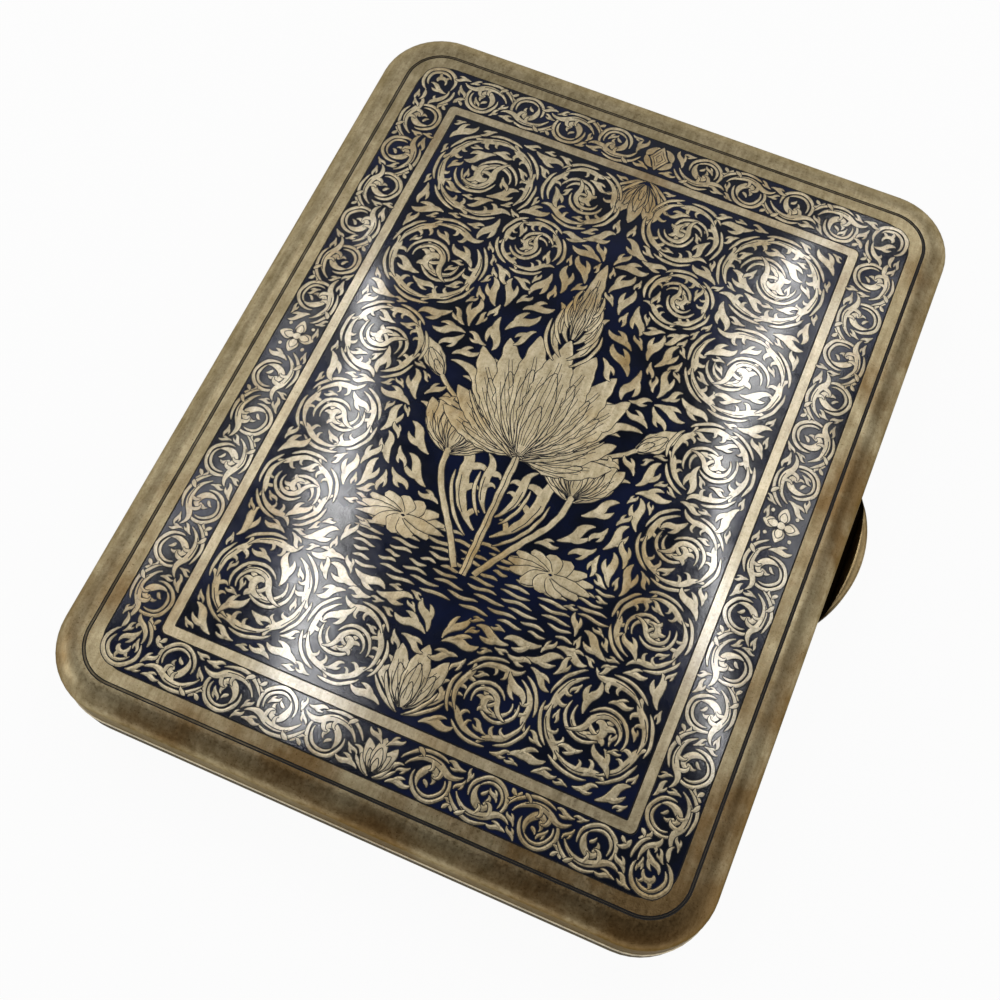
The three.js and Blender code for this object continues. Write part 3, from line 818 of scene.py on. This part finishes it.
def lotus_plant(drawing):
    """Water lotus with one open flower, smaller ones beside it, floating leaves and a flame bud on top."""
    up = TAU / 4
    for side in (1, -1):
        pad(drawing, (side * 9.3, -17.0), 5.2, 2.4)
        flame(drawing, (side * 1.0, -15.5), up - side * 1.0, 12.5, side * 1.0, -side * 1.3, 1.5, barbs=3)
    stem, _ = walk((0, -21), up, 18, [(1, 0)], 44)
    drawing.add((stem, np.full(44, 0.9)), (stem, np.full(44, -VEIN)))
    for side in (1, -1):
        turns = [(0.6, -side * 0.1), (0.4, side * 0.7)]
        stalk, headings = walk((side * 1.2, -20.5), up - side * 0.52, 15.5, turns, 38)
        drawing.add((stalk, np.full(38, 0.7)))
        lotus(drawing, stalk[-1], 7.8, 3.2, 7, 1.9, headings[-1], 4)
        flame(drawing, (side * 0.6, -13.0), up - side * 0.75, 8.0, side * 0.9, -side * 1.2, 1.1, barbs=2)
        turns = [(0.5, -side * 0.35), (0.5, side * 0.6)]
        stalk, headings = walk((side * 1.2, -4.0), up - side * 1.0, 13.0, turns, 32)
        drawing.add((stalk, np.full(32, 0.5)))
        petal(drawing, stalk[-1], headings[-1], 6.0, 2.6, hatch=4)
        flame(drawing, stalk[16], headings[16] - side * 0.6, 4.5, side * 0.8, -side * 1.2, 0.8)
    lotus(drawing, (0, -4.2), 13.5, 4.2, 11, 3.3, hatch=6)
    lotus(drawing, (0, -4.2), 16.5, 4.8, 7, 1.7, hatch=8)
    for side in (1, -1):
        for k in range(4):
            flame(drawing, (side * 0.4, 9.6 + 2.4 * k), up - side * (0.95 - 0.1 * k), 8.4 - 1.35 * k,
                  side * 1.2, -side * 1.3, 1.2 - 0.12 * k, barbs=2)
    petal(drawing, (0, 12.5), up, 12, 2.4, hatch=6)


def panel():
    """Lotus pond between scrolls, with small leaves in what is left."""
    drawing = Drawing()
    lotus(drawing, (0, -37.6), 7.6, 2.8, 3, 1.0, hatch=4)
    lotus(drawing, (0, 38.4), 6.6, 2.2, 3, 0.9, -TAU / 4, 4)
    ripples(drawing)
    lotus_plant(drawing)
    half = panel_scrolls()
    drawing.take(half, lambda p: p)
    drawing.take(half, mirrored)
    room_for = PANEL_HALF - 0.4
    fill_gaps(drawing, room_for, lambda x, y: (x / 14.0) ** 2 + ((y + 3.5) / 22.0) ** 2 < 1, 0.6, 1.5, 0.26)
    fill_gaps(drawing, room_for, lambda x, y: np.abs(y + 23) < 5, 0.9, 1.7, 0.4)
    return drawing


def resampled(points, widths):
    """A stroke with points no further apart than the grid."""
    run = np.concatenate([[0], np.cumsum(np.linalg.norm(np.diff(points, axis=0), axis=1))])
    fine = np.linspace(0, run[-1], max(2, int(run[-1] / GRID) + 1))
    spine = np.column_stack([np.interp(fine, run, points[:, k]) for k in (0, 1)])
    return spine, np.interp(fine, run, widths)


def cells(grid, low, points, widths, margin):
    """Yields the parts of the grid near a stroke's points, each with its mask."""
    for (x, y), width in zip(*resampled(points, np.abs(widths))):
        reach = width / 2 + margin
        i0, i1 = (int((x + d - low[0]) / GRID + 0.5) for d in (-reach, reach))
        j0, j1 = (int((y + d - low[1]) / GRID + 0.5) for d in (-reach, reach))
        i = np.arange(max(i0, 0), min(i1 + 1, grid.shape[0]))
        j = np.arange(max(j0, 0), min(j1 + 1, grid.shape[1]))
        if len(i) and len(j):
            near = np.hypot((low[0] + i * GRID - x)[:, None], (low[1] + j * GRID - y)[None, :]) <= reach
            yield (slice(i[0], i[-1] + 1), slice(j[0], j[-1] + 1)), near


def mark(grid, low, points, widths, margin):
    """Marks a stroke as covered."""
    for part, near in cells(grid, low, points, widths, margin):
        grid[part] |= near


def room(grid, most=14):
    """How many grid steps each place is from what is covered or from the edge."""
    free = np.pad(~grid, 1)
    depth = np.zeros(grid.shape, int)
    for _ in range(most):
        depth += free[1:-1, 1:-1]
        free[1:-1, 1:-1] &= free[:-2, 1:-1] & free[2:, 1:-1] & free[1:-1, :-2] & free[1:-1, 2:]
    return depth


def small_leaf(start, heading, length, side, width):
    """Leaf of two tongues that both end forwards."""
    points, headings = walk(start, heading, length, [(0.6, 1.0 * side), (0.4, -1.2 * side)], 12)
    tongue = comma(points[3], headings[3] - 0.75 * side, 0.52 * length, 1.1 * side, 0.62 * width, 9, 0.45,
                   0.5)
    return [(points, width * swell(12, 0.5, 0.1, 0.05, 0.8)), tongue]


def fitted_leaf(depth, low, centre, size):
    """The leaf about a centre that keeps to the widest room, out of 32 headings with hands in turn."""
    best = None
    for k in range(32):
        heading, side = TAU * k / 32, 1 if k % 2 else -1
        length = 3.0 * size
        start = centre - 0.5 * length * np.array([math.cos(heading), math.sin(heading)])
        leaf = small_leaf(start, heading - 0.3 * side, length, side, 0.66 * size)
        at = ((np.vstack([points for points, _ in leaf]) - low) / GRID + 0.5).astype(int)
        within = (at >= 0).all(axis=1) & (at < depth.shape).all(axis=1)
        score = depth[at[within, 0], at[within, 1]].clip(0, 4).sum() - 40 * (~within).sum()
        if best is None or score > best[0]:
            best = (score, leaf)
    return best[1]


def fill_gaps(drawing, half, bare, least, most, gap):
    """Puts a small leaf in each gap of the right half, the widest first, and mirrors it.

    half is the reach of the region, bare tells where the ground stays bare, least and most are half-widths
    of gaps, and gap is kept round each leaf.
    """
    low = np.array([0.5, -half[1]])
    grid = np.zeros(((half - low) / GRID).astype(int) + 1, bool)
    for motif in drawing.motifs:
        for points, widths in motif:
            mark(grid, low, points, widths, gap)
    x = low[0] + GRID * np.arange(grid.shape[0])[:, None]
    y = low[1] + GRID * np.arange(grid.shape[1])[None, :]
    grid |= bare(x, y)
    while True:
        depth = room(grid)
        i, j = np.unravel_index(np.argmax(depth), depth.shape)
        size = min(depth[i, j] * GRID, most)
        if size < least:
            return
        leaf = fitted_leaf(depth, low, low + GRID * np.array([i, j]), size)
        drawing.add(*leaf)
        drawing.add(*[(mirrored(points), widths) for points, widths in leaf])
        for points, widths in leaf:
            mark(grid, low, points, widths, gap)
        grid[i, j] = True


def ranks(drawing):
    """How high each motif lies: one more than the highest that it covers."""
    low = -np.array([HALF_WIDTH, HALF_LENGTH])
    grid = np.zeros((-2 * low / GRID).astype(int) + 1, int)
    found = []
    for motif in drawing.motifs:
        parts = [c for points, widths in motif for c in cells(grid, low, points, widths, OUTLINE)]
        rank = 1 + max((grid[part][near].max(initial=0) for part, near in parts), default=0)
        for part, near in parts:
            grid[part][near] = rank
        found.append(rank)
    return found


def unsteady(points, widths):
    """A stroke as a hand cuts it, a little off its line and width."""
    x, y = points.T
    offset = 0.035 * np.sin(1.9 * x + 2.3 * y)
    swelling = 0.11 * np.sin(2.9 * x + 1.3 * y) * np.sin(2.1 * y - 1.7 * x + 0.5)
    return beside(points, offset), widths * (1 + swelling)


def middles(width, dark):
    """Places of a stroke's middle columns, more of them on a wide one."""
    if width > WIDE_STROKE:
        return np.linspace(-0.7, 0.7, 3 + 2 * int(width / 1.6))
    return () if dark and width < NARROW_STROKE else (0,)


def columns(top, inner):
    """(place, height, relief) of the columns across a stroke, whose edges are sunk in the lid."""
    return [(-1, SUNK, 0), (-0.97, top, 0), *((side, top, 1) for side in inner), (0.97, top, 0), (1, SUNK, 0)]


def ribbons(name, drawing, finish, dark):
    """One object of a drawing's strokes, or of the dark lines round and on them."""
    points, faces, relief = [], [], []
    for motif, rank in zip(drawing.motifs, ranks(drawing)):
        for spine, widths in motif:
            vein = widths[0] < 0
            if vein and not dark:
                continue
            widths = np.abs(widths)
            extra = OUTLINE if dark and not vein else 0
            top = BED + LIFT * (rank + (0.4 if vein else -0.5 if dark else 0))
            profile = columns(top, middles(widths.max(), dark))
            spine, widths = unsteady(spine, widths)
            rows = [on_lid(beside(spine, side * (widths / 2 + extra)) + ART, height)
                    for side, height, _ in profile]
            strip, quads, _ = skin(np.stack(rows, axis=1), closed=False)
            faces += [[len(points) + corner for corner in quad] for quad in quads]
            points += strip
            relief += [share for *_, share in profile] * len(spine)
    piece = mesh_object(name, points, faces, [finish], sharp=STROKE_SHARP)
    shares = piece.data.attributes.new(RELIEF, "FLOAT", "POINT")
    shares.data.foreach_set("value", np.array(relief, np.float32))
    register(piece, "lid")


# Shells

def rolled(depth_from, sign, width, drop, inner, start=0.0, steps=10):
    """Loops of a rolled edge, from the field outwards. sign is 1 for an edge that turns down."""
    loops = []
    for a in np.linspace(start, TAU / 4, steps + 1)[1:]:
        inset = width - (width - inner) * math.sin(a)
        fall = inner + (drop - inner) * (1 - math.cos(a))
        loops.append(level(outline(inset), depth_from - sign * fall))
    return loops


def groove(out, radius, width, turn, inside):
    """Loops of an engraved groove. inside is the finish of the strip within it."""
    return [
        (out - width / 2, max(radius - turn, PANEL_CORNER), 0, inside),
        (out, radius, GROOVE_DEPTH, "engraved"),
        (out + width / 2, radius + turn, 0, "engraved"),
    ]


def lid_zones(line_width, line_groove):
    """(out from the frame's edge, corner radius, depth, finish of the strip inside it), outwards."""
    half = line_groove / 2
    inward = line_width - half
    between = [(share * BORDER_WIDTH, (1 - share) * FRAME_CORNER + share * BORDER_CORNER, 0, "niello")
               for share in (0.33, 0.67)]
    return [
        *groove(-FRAME_WIDTH, PANEL_CORNER, GROOVE_WIDTH, GROOVE_TURN, "niello"),
        *groove(0, FRAME_CORNER, GROOVE_WIDTH, GROOVE_TURN, "frame"),
        *between,
        *groove(BORDER_WIDTH, BORDER_CORNER, GROOVE_WIDTH, GROOVE_TURN, "niello"),
        *groove(LINE_OUT - inward, LINE_CORNER - inward, line_groove, half, "silver"),
        *groove(LINE_OUT - half, LINE_CORNER - half, line_groove, half, "dull"),
    ]


def lid_face():
    """Loops of the lid's face out to its engraved line, and the finish of the strip inside each."""
    panel_edge = zone(-FRAME_WIDTH, PANEL_CORNER) - ART
    loops = [on_lid(panel_edge * share + ART) for share in np.linspace(0.04, 0.98, PANEL_LOOPS)]
    finishes = ["niello"] * len(loops)
    for thin, bold in zip(lid_zones(*THIN_LINE), lid_zones(*BOLD_LINE)):
        out, radius, depth, finish = thin
        plan = zone(out, radius)
        x, y = plan[:, :1], plan[:, 1:]
        near = np.minimum((x - NEAR_FROM) / NEAR_RAMP, -y - NEAR_SIDE)
        share = np.clip(np.maximum((x - RIGHT_FROM) / RIGHT_RAMP, near), 0, 1)
        loops.append(on_lid(plan + (zone(*bold[:2]) - plan) * share, -depth))
        finishes.append(finish)
    return loops, finishes


def lid_shell(finishes):
    """The pressed lid, its face divided into zones of silver and niello."""
    names = ["silver", "niello", "engraved", "frame", "dull", "inner"]
    loops, zones = lid_face()
    edge = (LID_SHOULDER, 1, LID_ROLL_WIDTH, LID_ROLL_DROP)
    roll = rolled(*edge, 0, math.asin(0.2))
    last, first = zone(LINE_OUT, LINE_CORNER), roll[0][:, :2]
    outer = [on_lid(last + (first - last) * share) for share in (0.25, 0.5, 0.75)] + roll
    bead = LID_RIM + RIM_BEAD_HEIGHT
    rim = [
        (0, bead), (-0.5 * RIM_BEAD, bead - 0.08), (-RIM_BEAD, bead - 0.2), (-RIM_BEAD, LID_RIM + RIM_ROUND),
        (RIM_ROUND - RIM_BEAD, LID_RIM),
    ]
    outer += [level(outline(inset), height) for inset, height in rim]
    # The turned rim's bead takes the paler, polished frame finish: a painted highlight along the lip.
    zones += ["silver"] * (len(outer) - 4) + ["frame"] * 4
    loops += outer
    loops += [level(outline(SHEET - RIM_ROUND), LID_RIM), level(outline(SHEET), LID_RIM + RIM_ROUND)]
    loops += rolled(*edge, SHEET)[::-1]
    field = outline(LID_ROLL_WIDTH)
    loops += [on_lid(field * share, -SHEET) for share in (1, 0.9, 0.75, 0.6, 0.45, 0.3, 0.15)]
    zones += ["inner"] * (len(loops) - len(zones))
    top = np.array([*ART, lid_height(*ART)])
    points, faces, rows = skin(loops, top, np.array([0, 0, lid_height(0, 0) - SHEET]))
    indices = [names.index(zones[k + 1]) for k in rows]
    piece = mesh_object("lid_body", points, faces, [finishes[n] for n in names], indices)
    cut(piece, hinge_channel())
    register(piece, "lid", "lid_shell")


def base_shell(finishes):
    """The pressed base with its rounded underside."""
    field = outline(BASE_ROLL_WIDTH)
    shares = (0.3, 0.7, 0.95, 1)
    edge = (0, -1, BASE_ROLL_WIDTH, BASE_ROLL_DROP)
    loops = [level(field * share, 0) for share in shares] + rolled(*edge, 0)
    loops += [level(outline(0), BASE_RIM - RIM_ROUND), level(outline(RIM_ROUND), BASE_RIM)]
    outside = len(loops)
    loops += [level(outline(SHEET - RIM_ROUND), BASE_RIM), level(outline(SHEET), BASE_RIM - RIM_ROUND)]
    loops += rolled(*edge, SHEET)[::-1] + [level(field * share, SHEET) for share in shares[::-1]]
    points, faces, rows = skin(loops, np.zeros(3), np.array([0, 0, SHEET]))
    indices = [0 if k < outside - 1 else 1 for k in rows]
    materials = [finishes["base"], finishes["inner"]]
    piece = mesh_object("base_body", points, turned(faces), materials, indices)
    cut(piece, hinge_channel())
    cut(piece, thumb_slot())
    register(piece, "base", "base_shell")


def hinge_ring(radius, y, steps):
    """Circle round the hinge's axis."""
    ring = circle(radius, steps)
    return np.column_stack([ring[:, 0], np.full(steps, y), ring[:, 1]]) + HINGE


def hinge_channel():
    """Room for the hinge in the shells."""
    half = PIN_HIGH[1] + CHANNEL_GAP
    return solid("channel", [hinge_ring(CHANNEL_RADIUS, y, 40) for y in (-half, half)], [])


def thumb_slot():
    """Room for the thumb piece in the base's wall."""
    section = rounded(THUMB_WIDTH + 2 * THUMB_GAP, THUMB_PLATE + 2 * THUMB_GAP, 0.4)
    middle = np.array([0, THUMB_Y, THUMB_LOW[2] + THUMB_PLATE / 2])
    loops = [np.column_stack([np.full(len(section), x), section]) + middle
             for x in (HALF_WIDTH - 2 * SHEET, HALF_WIDTH + SHEET)]
    return solid("slot", loops, [], flip=True)


# Hinge, catch and bands

def knuckles(finishes):
    """The hinge's tubes, each with softened ends."""
    for name in sorted(n for n in frame["nodes"] if "knuckle" in n):
        low, high = box(name)
        radius = (high[0] - low[0]) / 2
        bore, soft = TUBE_BORE, TUBE_SOFT
        half = [(bore, soft), (bore + soft, 0), (radius - soft, 0), (radius, soft)]
        profile = [(r, low[1] + y) for r, y in half] + [(r, high[1] - y) for r, y in half[::-1]]
        points, faces, _ = skin([hinge_ring(r, y, TUBE_STEPS) for r, y in profile + profile[:1]])
        tube = name.replace("knuckle", "hinge_tube")
        piece = mesh_object(tube, points, turned(faces), [finishes["silver"]])
        register(piece, name.split("_")[0], name)


def hinge_pin(finishes):
    """Wire through the tubes."""
    path = np.array([HINGE + [0, y, 0] for y in np.linspace(PIN_LOW[1], PIN_HIGH[1], 12)])
    piece = bar("hinge_wire", path, circle((PIN_HIGH[0] - PIN_LOW[0]) / 2, 24), finishes["steel"])
    register(piece, "base", "hinge_pin")


def hollow(share):
    """Fall of the thumb piece's top from its crest, where share runs from the case to the edge."""
    if share > THUMB_CREST:
        return 0.35 * ((share - THUMB_CREST) / (1 - THUMB_CREST)) ** 2
    return ((THUMB_CREST - share) / THUMB_CREST) ** 1.4


def thumb_piece(finishes):
    """Half-moon push plate, hollowed next to the case and rounded towards its edge, and its flange inside."""
    low, tip = THUMB_LOW[2], THUMB_HIGH[0]
    top = low + THUMB_PLATE
    half, reach = THUMB_WIDTH / 2, tip - HALF_WIDTH
    radius = (half ** 2 + reach ** 2) / (2 * reach)
    root = HALF_WIDTH + THUMB_TRAVEL + THUMB_GAP
    back = THUMB_LOW[0] + 1
    soft, turn, sink = 0.18, 0.22, 0.4
    loops = []
    for y in half * np.sin(np.linspace(-TAU / 4, TAU / 4, 41)):
        edge = tip - radius + math.sqrt(radius ** 2 - y ** 2)
        rise = (THUMB_HIGH[2] - top) * min(1, max(0, edge - root) / (tip - root)) ** 0.6
        face = top + rise
        foot = min(root, edge - turn)
        section = [(back, low), (edge - soft, low), (edge - 0.05, low + 0.05), (edge, low + soft)]
        section += [(edge - turn * (1 - math.cos(a)), face - hollow(1) * rise - turn * (1 - math.sin(a)))
                    for a in np.linspace(0, TAU / 4, 6)]
        section += [(foot + (edge - turn - foot) * share, face - hollow(share) * rise)
                    for share in np.linspace(0.92, 0, 12)]
        section += [(x, top - sink) for x in (HALF_WIDTH + 0.1, HALF_WIDTH - 0.5, back)]
        loops.append(np.array([(x, y + THUMB_Y, z) for x, z in section]))
    plate = solid("thumb_plate", loops, [finishes["thumb"]], flip=True)
    register(plate, "thumb_catch", "thumb_piece")
    width = THUMB_HIGH[1] - THUMB_LOW[1]
    shares = np.linspace(-0.5, 0.5, 6)
    path = np.array([[THUMB_LOW[0] + 0.5, CATCH_Y + width * t, (top + low) / 2] for t in shares])
    flange = bar("thumb_flange", path, rounded(1.0, THUMB_PLATE, 0.2), finishes["inner"])
    register(flange, "thumb_catch")


def catch_spring(finishes):
    """Bowed leaf, made in its rest bow; on the real case it flattens as the thumb piece goes in."""
    low, high = box("catch_spring")
    half, rise = (high[1] - low[1]) / 2, high[0] - low[0] - SPRING_SHEET
    radius = (half ** 2 + rise ** 2) / (2 * rise)
    reach = math.asin(half / radius)
    angles = np.linspace(-reach, reach, 40)
    x = high[0] - SPRING_SHEET / 2 - radius + radius * np.cos(angles)
    path = level(np.column_stack([x, CATCH_Y + radius * np.sin(angles)]), (low[2] + high[2]) / 2)
    piece = bar("bow_spring", path, rounded(SPRING_SHEET, high[2] - low[2], 0.12), finishes["steel"])
    register(piece, "base", "catch_spring")
    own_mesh(piece)


def wire_loops(finishes):
    """Bent wires that hold the bands."""
    for name in sorted(n for n in frame["nodes"] if "_loop_" in n):
        low, high = box(name)
        end = math.copysign(1, low[1] + high[1])
        seat, rod = (high[1], low[1] + WIRE_RADIUS) if end > 0 else (low[1], high[1] - WIRE_RADIUS)
        half = high[0] - WIRE_RADIUS
        right = [(half, seat)]
        right += [(half - WIRE_BEND * (1 - math.cos(a)), rod + end * WIRE_BEND * (1 - math.sin(a)))
                  for a in np.linspace(0, TAU / 4, 9)]
        plan = np.array(right + [(-x, y) for x, y in right[::-1]])
        path = level(plan, (low[2] + high[2]) / 2)
        piece = bar(name.replace("loop", "wire"), path, circle(WIRE_RADIUS, 16), finishes["inner"])
        register(piece, name.split("_")[0], name)


def band_section():
    """Section of a ribbed band."""
    x = np.linspace(-BAND_WIDTH / 2, BAND_WIDTH / 2, 6 * BAND_RIBS + 1)
    wave = RIB_HEIGHT * np.cos(TAU * BAND_RIBS * (x / BAND_WIDTH + 0.5))
    edge = BAND_SHEET / 2 * np.sqrt(np.clip((BAND_WIDTH / 2 - np.abs(x)) / BAND_EDGE, 0.15, 1))
    return np.vstack([np.column_stack([x, edge - wave]), np.column_stack([x, wave - edge])[::-1]])


def elastic_bands(finishes):
    """Woven bands, turned round their wires and sewn."""
    for name, side in (("base_elastic", 1), ("lid_elastic", -1)):
        low, high = box(name)
        eye = (high[2] - low[2]) / 2
        turn = eye - 0.3
        rod, z = high[1] - eye, (low[2] + high[2]) / 2
        angles = np.linspace(TAU / 4, 1.35 * TAU / 2, 14)
        left = [(-rod + turn * math.cos(a), z + side * turn * math.sin(a)) for a in angles]
        middle = [(y, z + side * turn) for y in np.linspace(-rod, rod, 60)[1:-1]]
        path = np.array([(0, y, h) for y, h in left[::-1] + middle + [(-y, h) for y, h in left]])
        normals = np.cross([1.0, 0, 0], np.gradient(path, axis=0))
        piece = bar(name.replace("elastic", "band"), path, band_section(), finishes["elastic"], normals,
                    BAND_SHARP)
        body = name.split("_")[0]
        register(piece, body, name)


def bezels(finishes):
    """Strips inside the base's rim, the far one short of the thumb piece."""
    for name, end in (("base_bezel_near", -1), ("base_bezel_far", 1)):
        low, high = box(name)
        radius = CORNER_RADIUS - HALF_WIDTH + high[0] - RIM_STRIP / 2
        x, y = HALF_WIDTH - CORNER_RADIUS, HALF_LENGTH - CORNER_RADIUS
        stop = max(low[1], THUMB_Y + THUMB_WIDTH / 2 + THUMB_GAP) if end > 0 else -high[1]
        plan = [(x + radius, v) for v in np.linspace(stop, y, 12)[:-1]]
        plan += [(x + radius * math.cos(a), y + radius * math.sin(a)) for a in np.linspace(0, TAU / 4, 20)]
        plan += [(u, y + radius) for u in np.linspace(x, low[0], 20)[1:]]
        path = level(np.array(plan) * [1, end], (low[2] + high[2]) / 2)
        section = rounded(RIM_STRIP, high[2] - low[2], 0.2)
        piece = bar(name.replace("bezel", "rim_strip"), path, section, finishes["inner"])
        register(piece, "base", name)


def dress_catch(finishes):
    """The catch's flat plates stay as solids, with softened edges."""
    for name in ("catch_slider", "strike_plate", "spring_keeper_near", "spring_keeper_far"):
        node = frame["nodes"][name]
        weld = node.modifiers.new("weld", "WELD")
        weld.merge_threshold = 0.001 * MM
        bevel = node.modifiers.new("bevel", "BEVEL")
        bevel.width = BEVEL * MM
        bevel.segments = 3
        bevel.limit_method = "ANGLE"
        for slot in node.material_slots:
            slot.material = finishes["inner"]


# Stage

def stage():
    """White floor that shows white to the camera and in reflections, and keeps a soft shadow."""
    graph = Graph(bpy.data.materials.new("floor"))
    made = graph.close({"Base Color": (0.9, 0.9, 0.9), "Roughness": 0.9, "Specular IOR Level": 0.0})
    path = graph.nodes.new("ShaderNodeLightPath").outputs
    seen = path["Is Camera Ray"]
    for other in ("Is Glossy Ray", "Is Transmission Ray"):
        seen = graph.math("MAXIMUM", seen, path[other])
    glow = graph.make("ShaderNodeEmission", "Emission", {})
    sockets = {0: graph.math("MULTIPLY", seen, FLOOR_GLOW), 1: graph.end.outputs["BSDF"], 2: glow}
    mixed = graph.make("ShaderNodeMixShader", "Shader", sockets)
    graph.feed(graph.nodes["Material Output"], {"Surface": mixed})
    corners = level(FLOOR_HALF * np.array([(-1, -1), (1, -1), (1, 1), (-1, 1)]), FLOOR_HEIGHT)
    mesh_object("floor", corners, [(0, 1, 2, 3)], [made])


def world():
    """Pale walls, darker on one side, and a dim ceiling that the lid's face mirrors."""
    made = bpy.data.worlds.new("studio")
    bpy.context.scene.world = made
    graph = Graph(made, "Background")
    direction = graph.coordinates("Generated")
    up, aside = (graph.slope(Vector(place).normalized(), direction) for place in (CEILING, SHADED))
    walls = graph.ramp(up, (0.35, WALL_LIGHT), (0.74, MIDDLE_LIGHT), (0.93, CEILING_LIGHT))
    graph.close({"Color": graph.multiply(walls, graph.ramp(aside, (0.4, WHITE), (0.85, SHADE)))})


def lights():
    """Long lamps that the lid mirrors as bright bands, weaker ones for its border, and a window."""
    for name, first, last, width, radiance in LAMPS:
        first, last = Vector(first), Vector(last)
        middle = (first + last) / 2
        along = (last - first).normalized()
        back = middle - LAMP_TARGET
        back = (back - back.dot(along) * along).normalized()
        data = bpy.data.lights.new(name, "AREA")
        data.shape = "RECTANGLE"
        data.size, data.size_y = width * MM, (last - first).length * MM
        data.energy = radiance * math.pi * data.size * data.size_y
        lamp = bpy.data.objects.new(name, data)
        lamp.location = middle * MM
        lamp.rotation_mode = "QUATERNION"
        lamp.rotation_quaternion = Matrix((along.cross(back), along, back)).transposed().to_quaternion()
        bpy.context.scene.collection.objects.link(lamp)


def camera():
    """The photo's view, as fitted to the case's outline and frame."""
    data = bpy.data.cameras.new("camera")
    data.lens, data.sensor_width = LENS, SENSOR
    data.clip_start = 0.01
    seen_from = bpy.data.objects.new("camera", data)
    a, e = math.radians(CAMERA_AZIMUTH), math.radians(CAMERA_ELEVATION)
    back = Vector((math.sin(a) * math.cos(e), -math.cos(a) * math.cos(e), math.sin(e)))
    seen_from.location = (Vector(CAMERA_TARGET) + back * CAMERA_DISTANCE) * MM
    seen_from.rotation_mode = "QUATERNION"
    roll = Quaternion((0, 0, 1), math.radians(CAMERA_ROLL))
    seen_from.rotation_quaternion = (-back).to_track_quat("-Z", "Y") @ roll
    bpy.context.scene.collection.objects.link(seen_from)
    bpy.context.scene.camera = seen_from


def build():
    """Makes every piece, then the floor, the light and the camera."""
    finishes = all_finishes()
    lid_shell(finishes)
    base_shell(finishes)
    for name, drawing in (("border", border()), ("panel", panel())):
        ribbons(f"{name}_outlines", drawing, finishes["engraved"], True)
        ribbons(f"{name}_scrolls", drawing, finishes["strokes"], False)
    knuckles(finishes)
    hinge_pin(finishes)
    thumb_piece(finishes)
    catch_spring(finishes)
    wire_loops(finishes)
    elastic_bands(finishes)
    bezels(finishes)
    dress_catch(finishes)
    stage()
    world()
    lights()
    camera()
    bpy.context.scene.view_settings.view_transform = "Standard"


build()
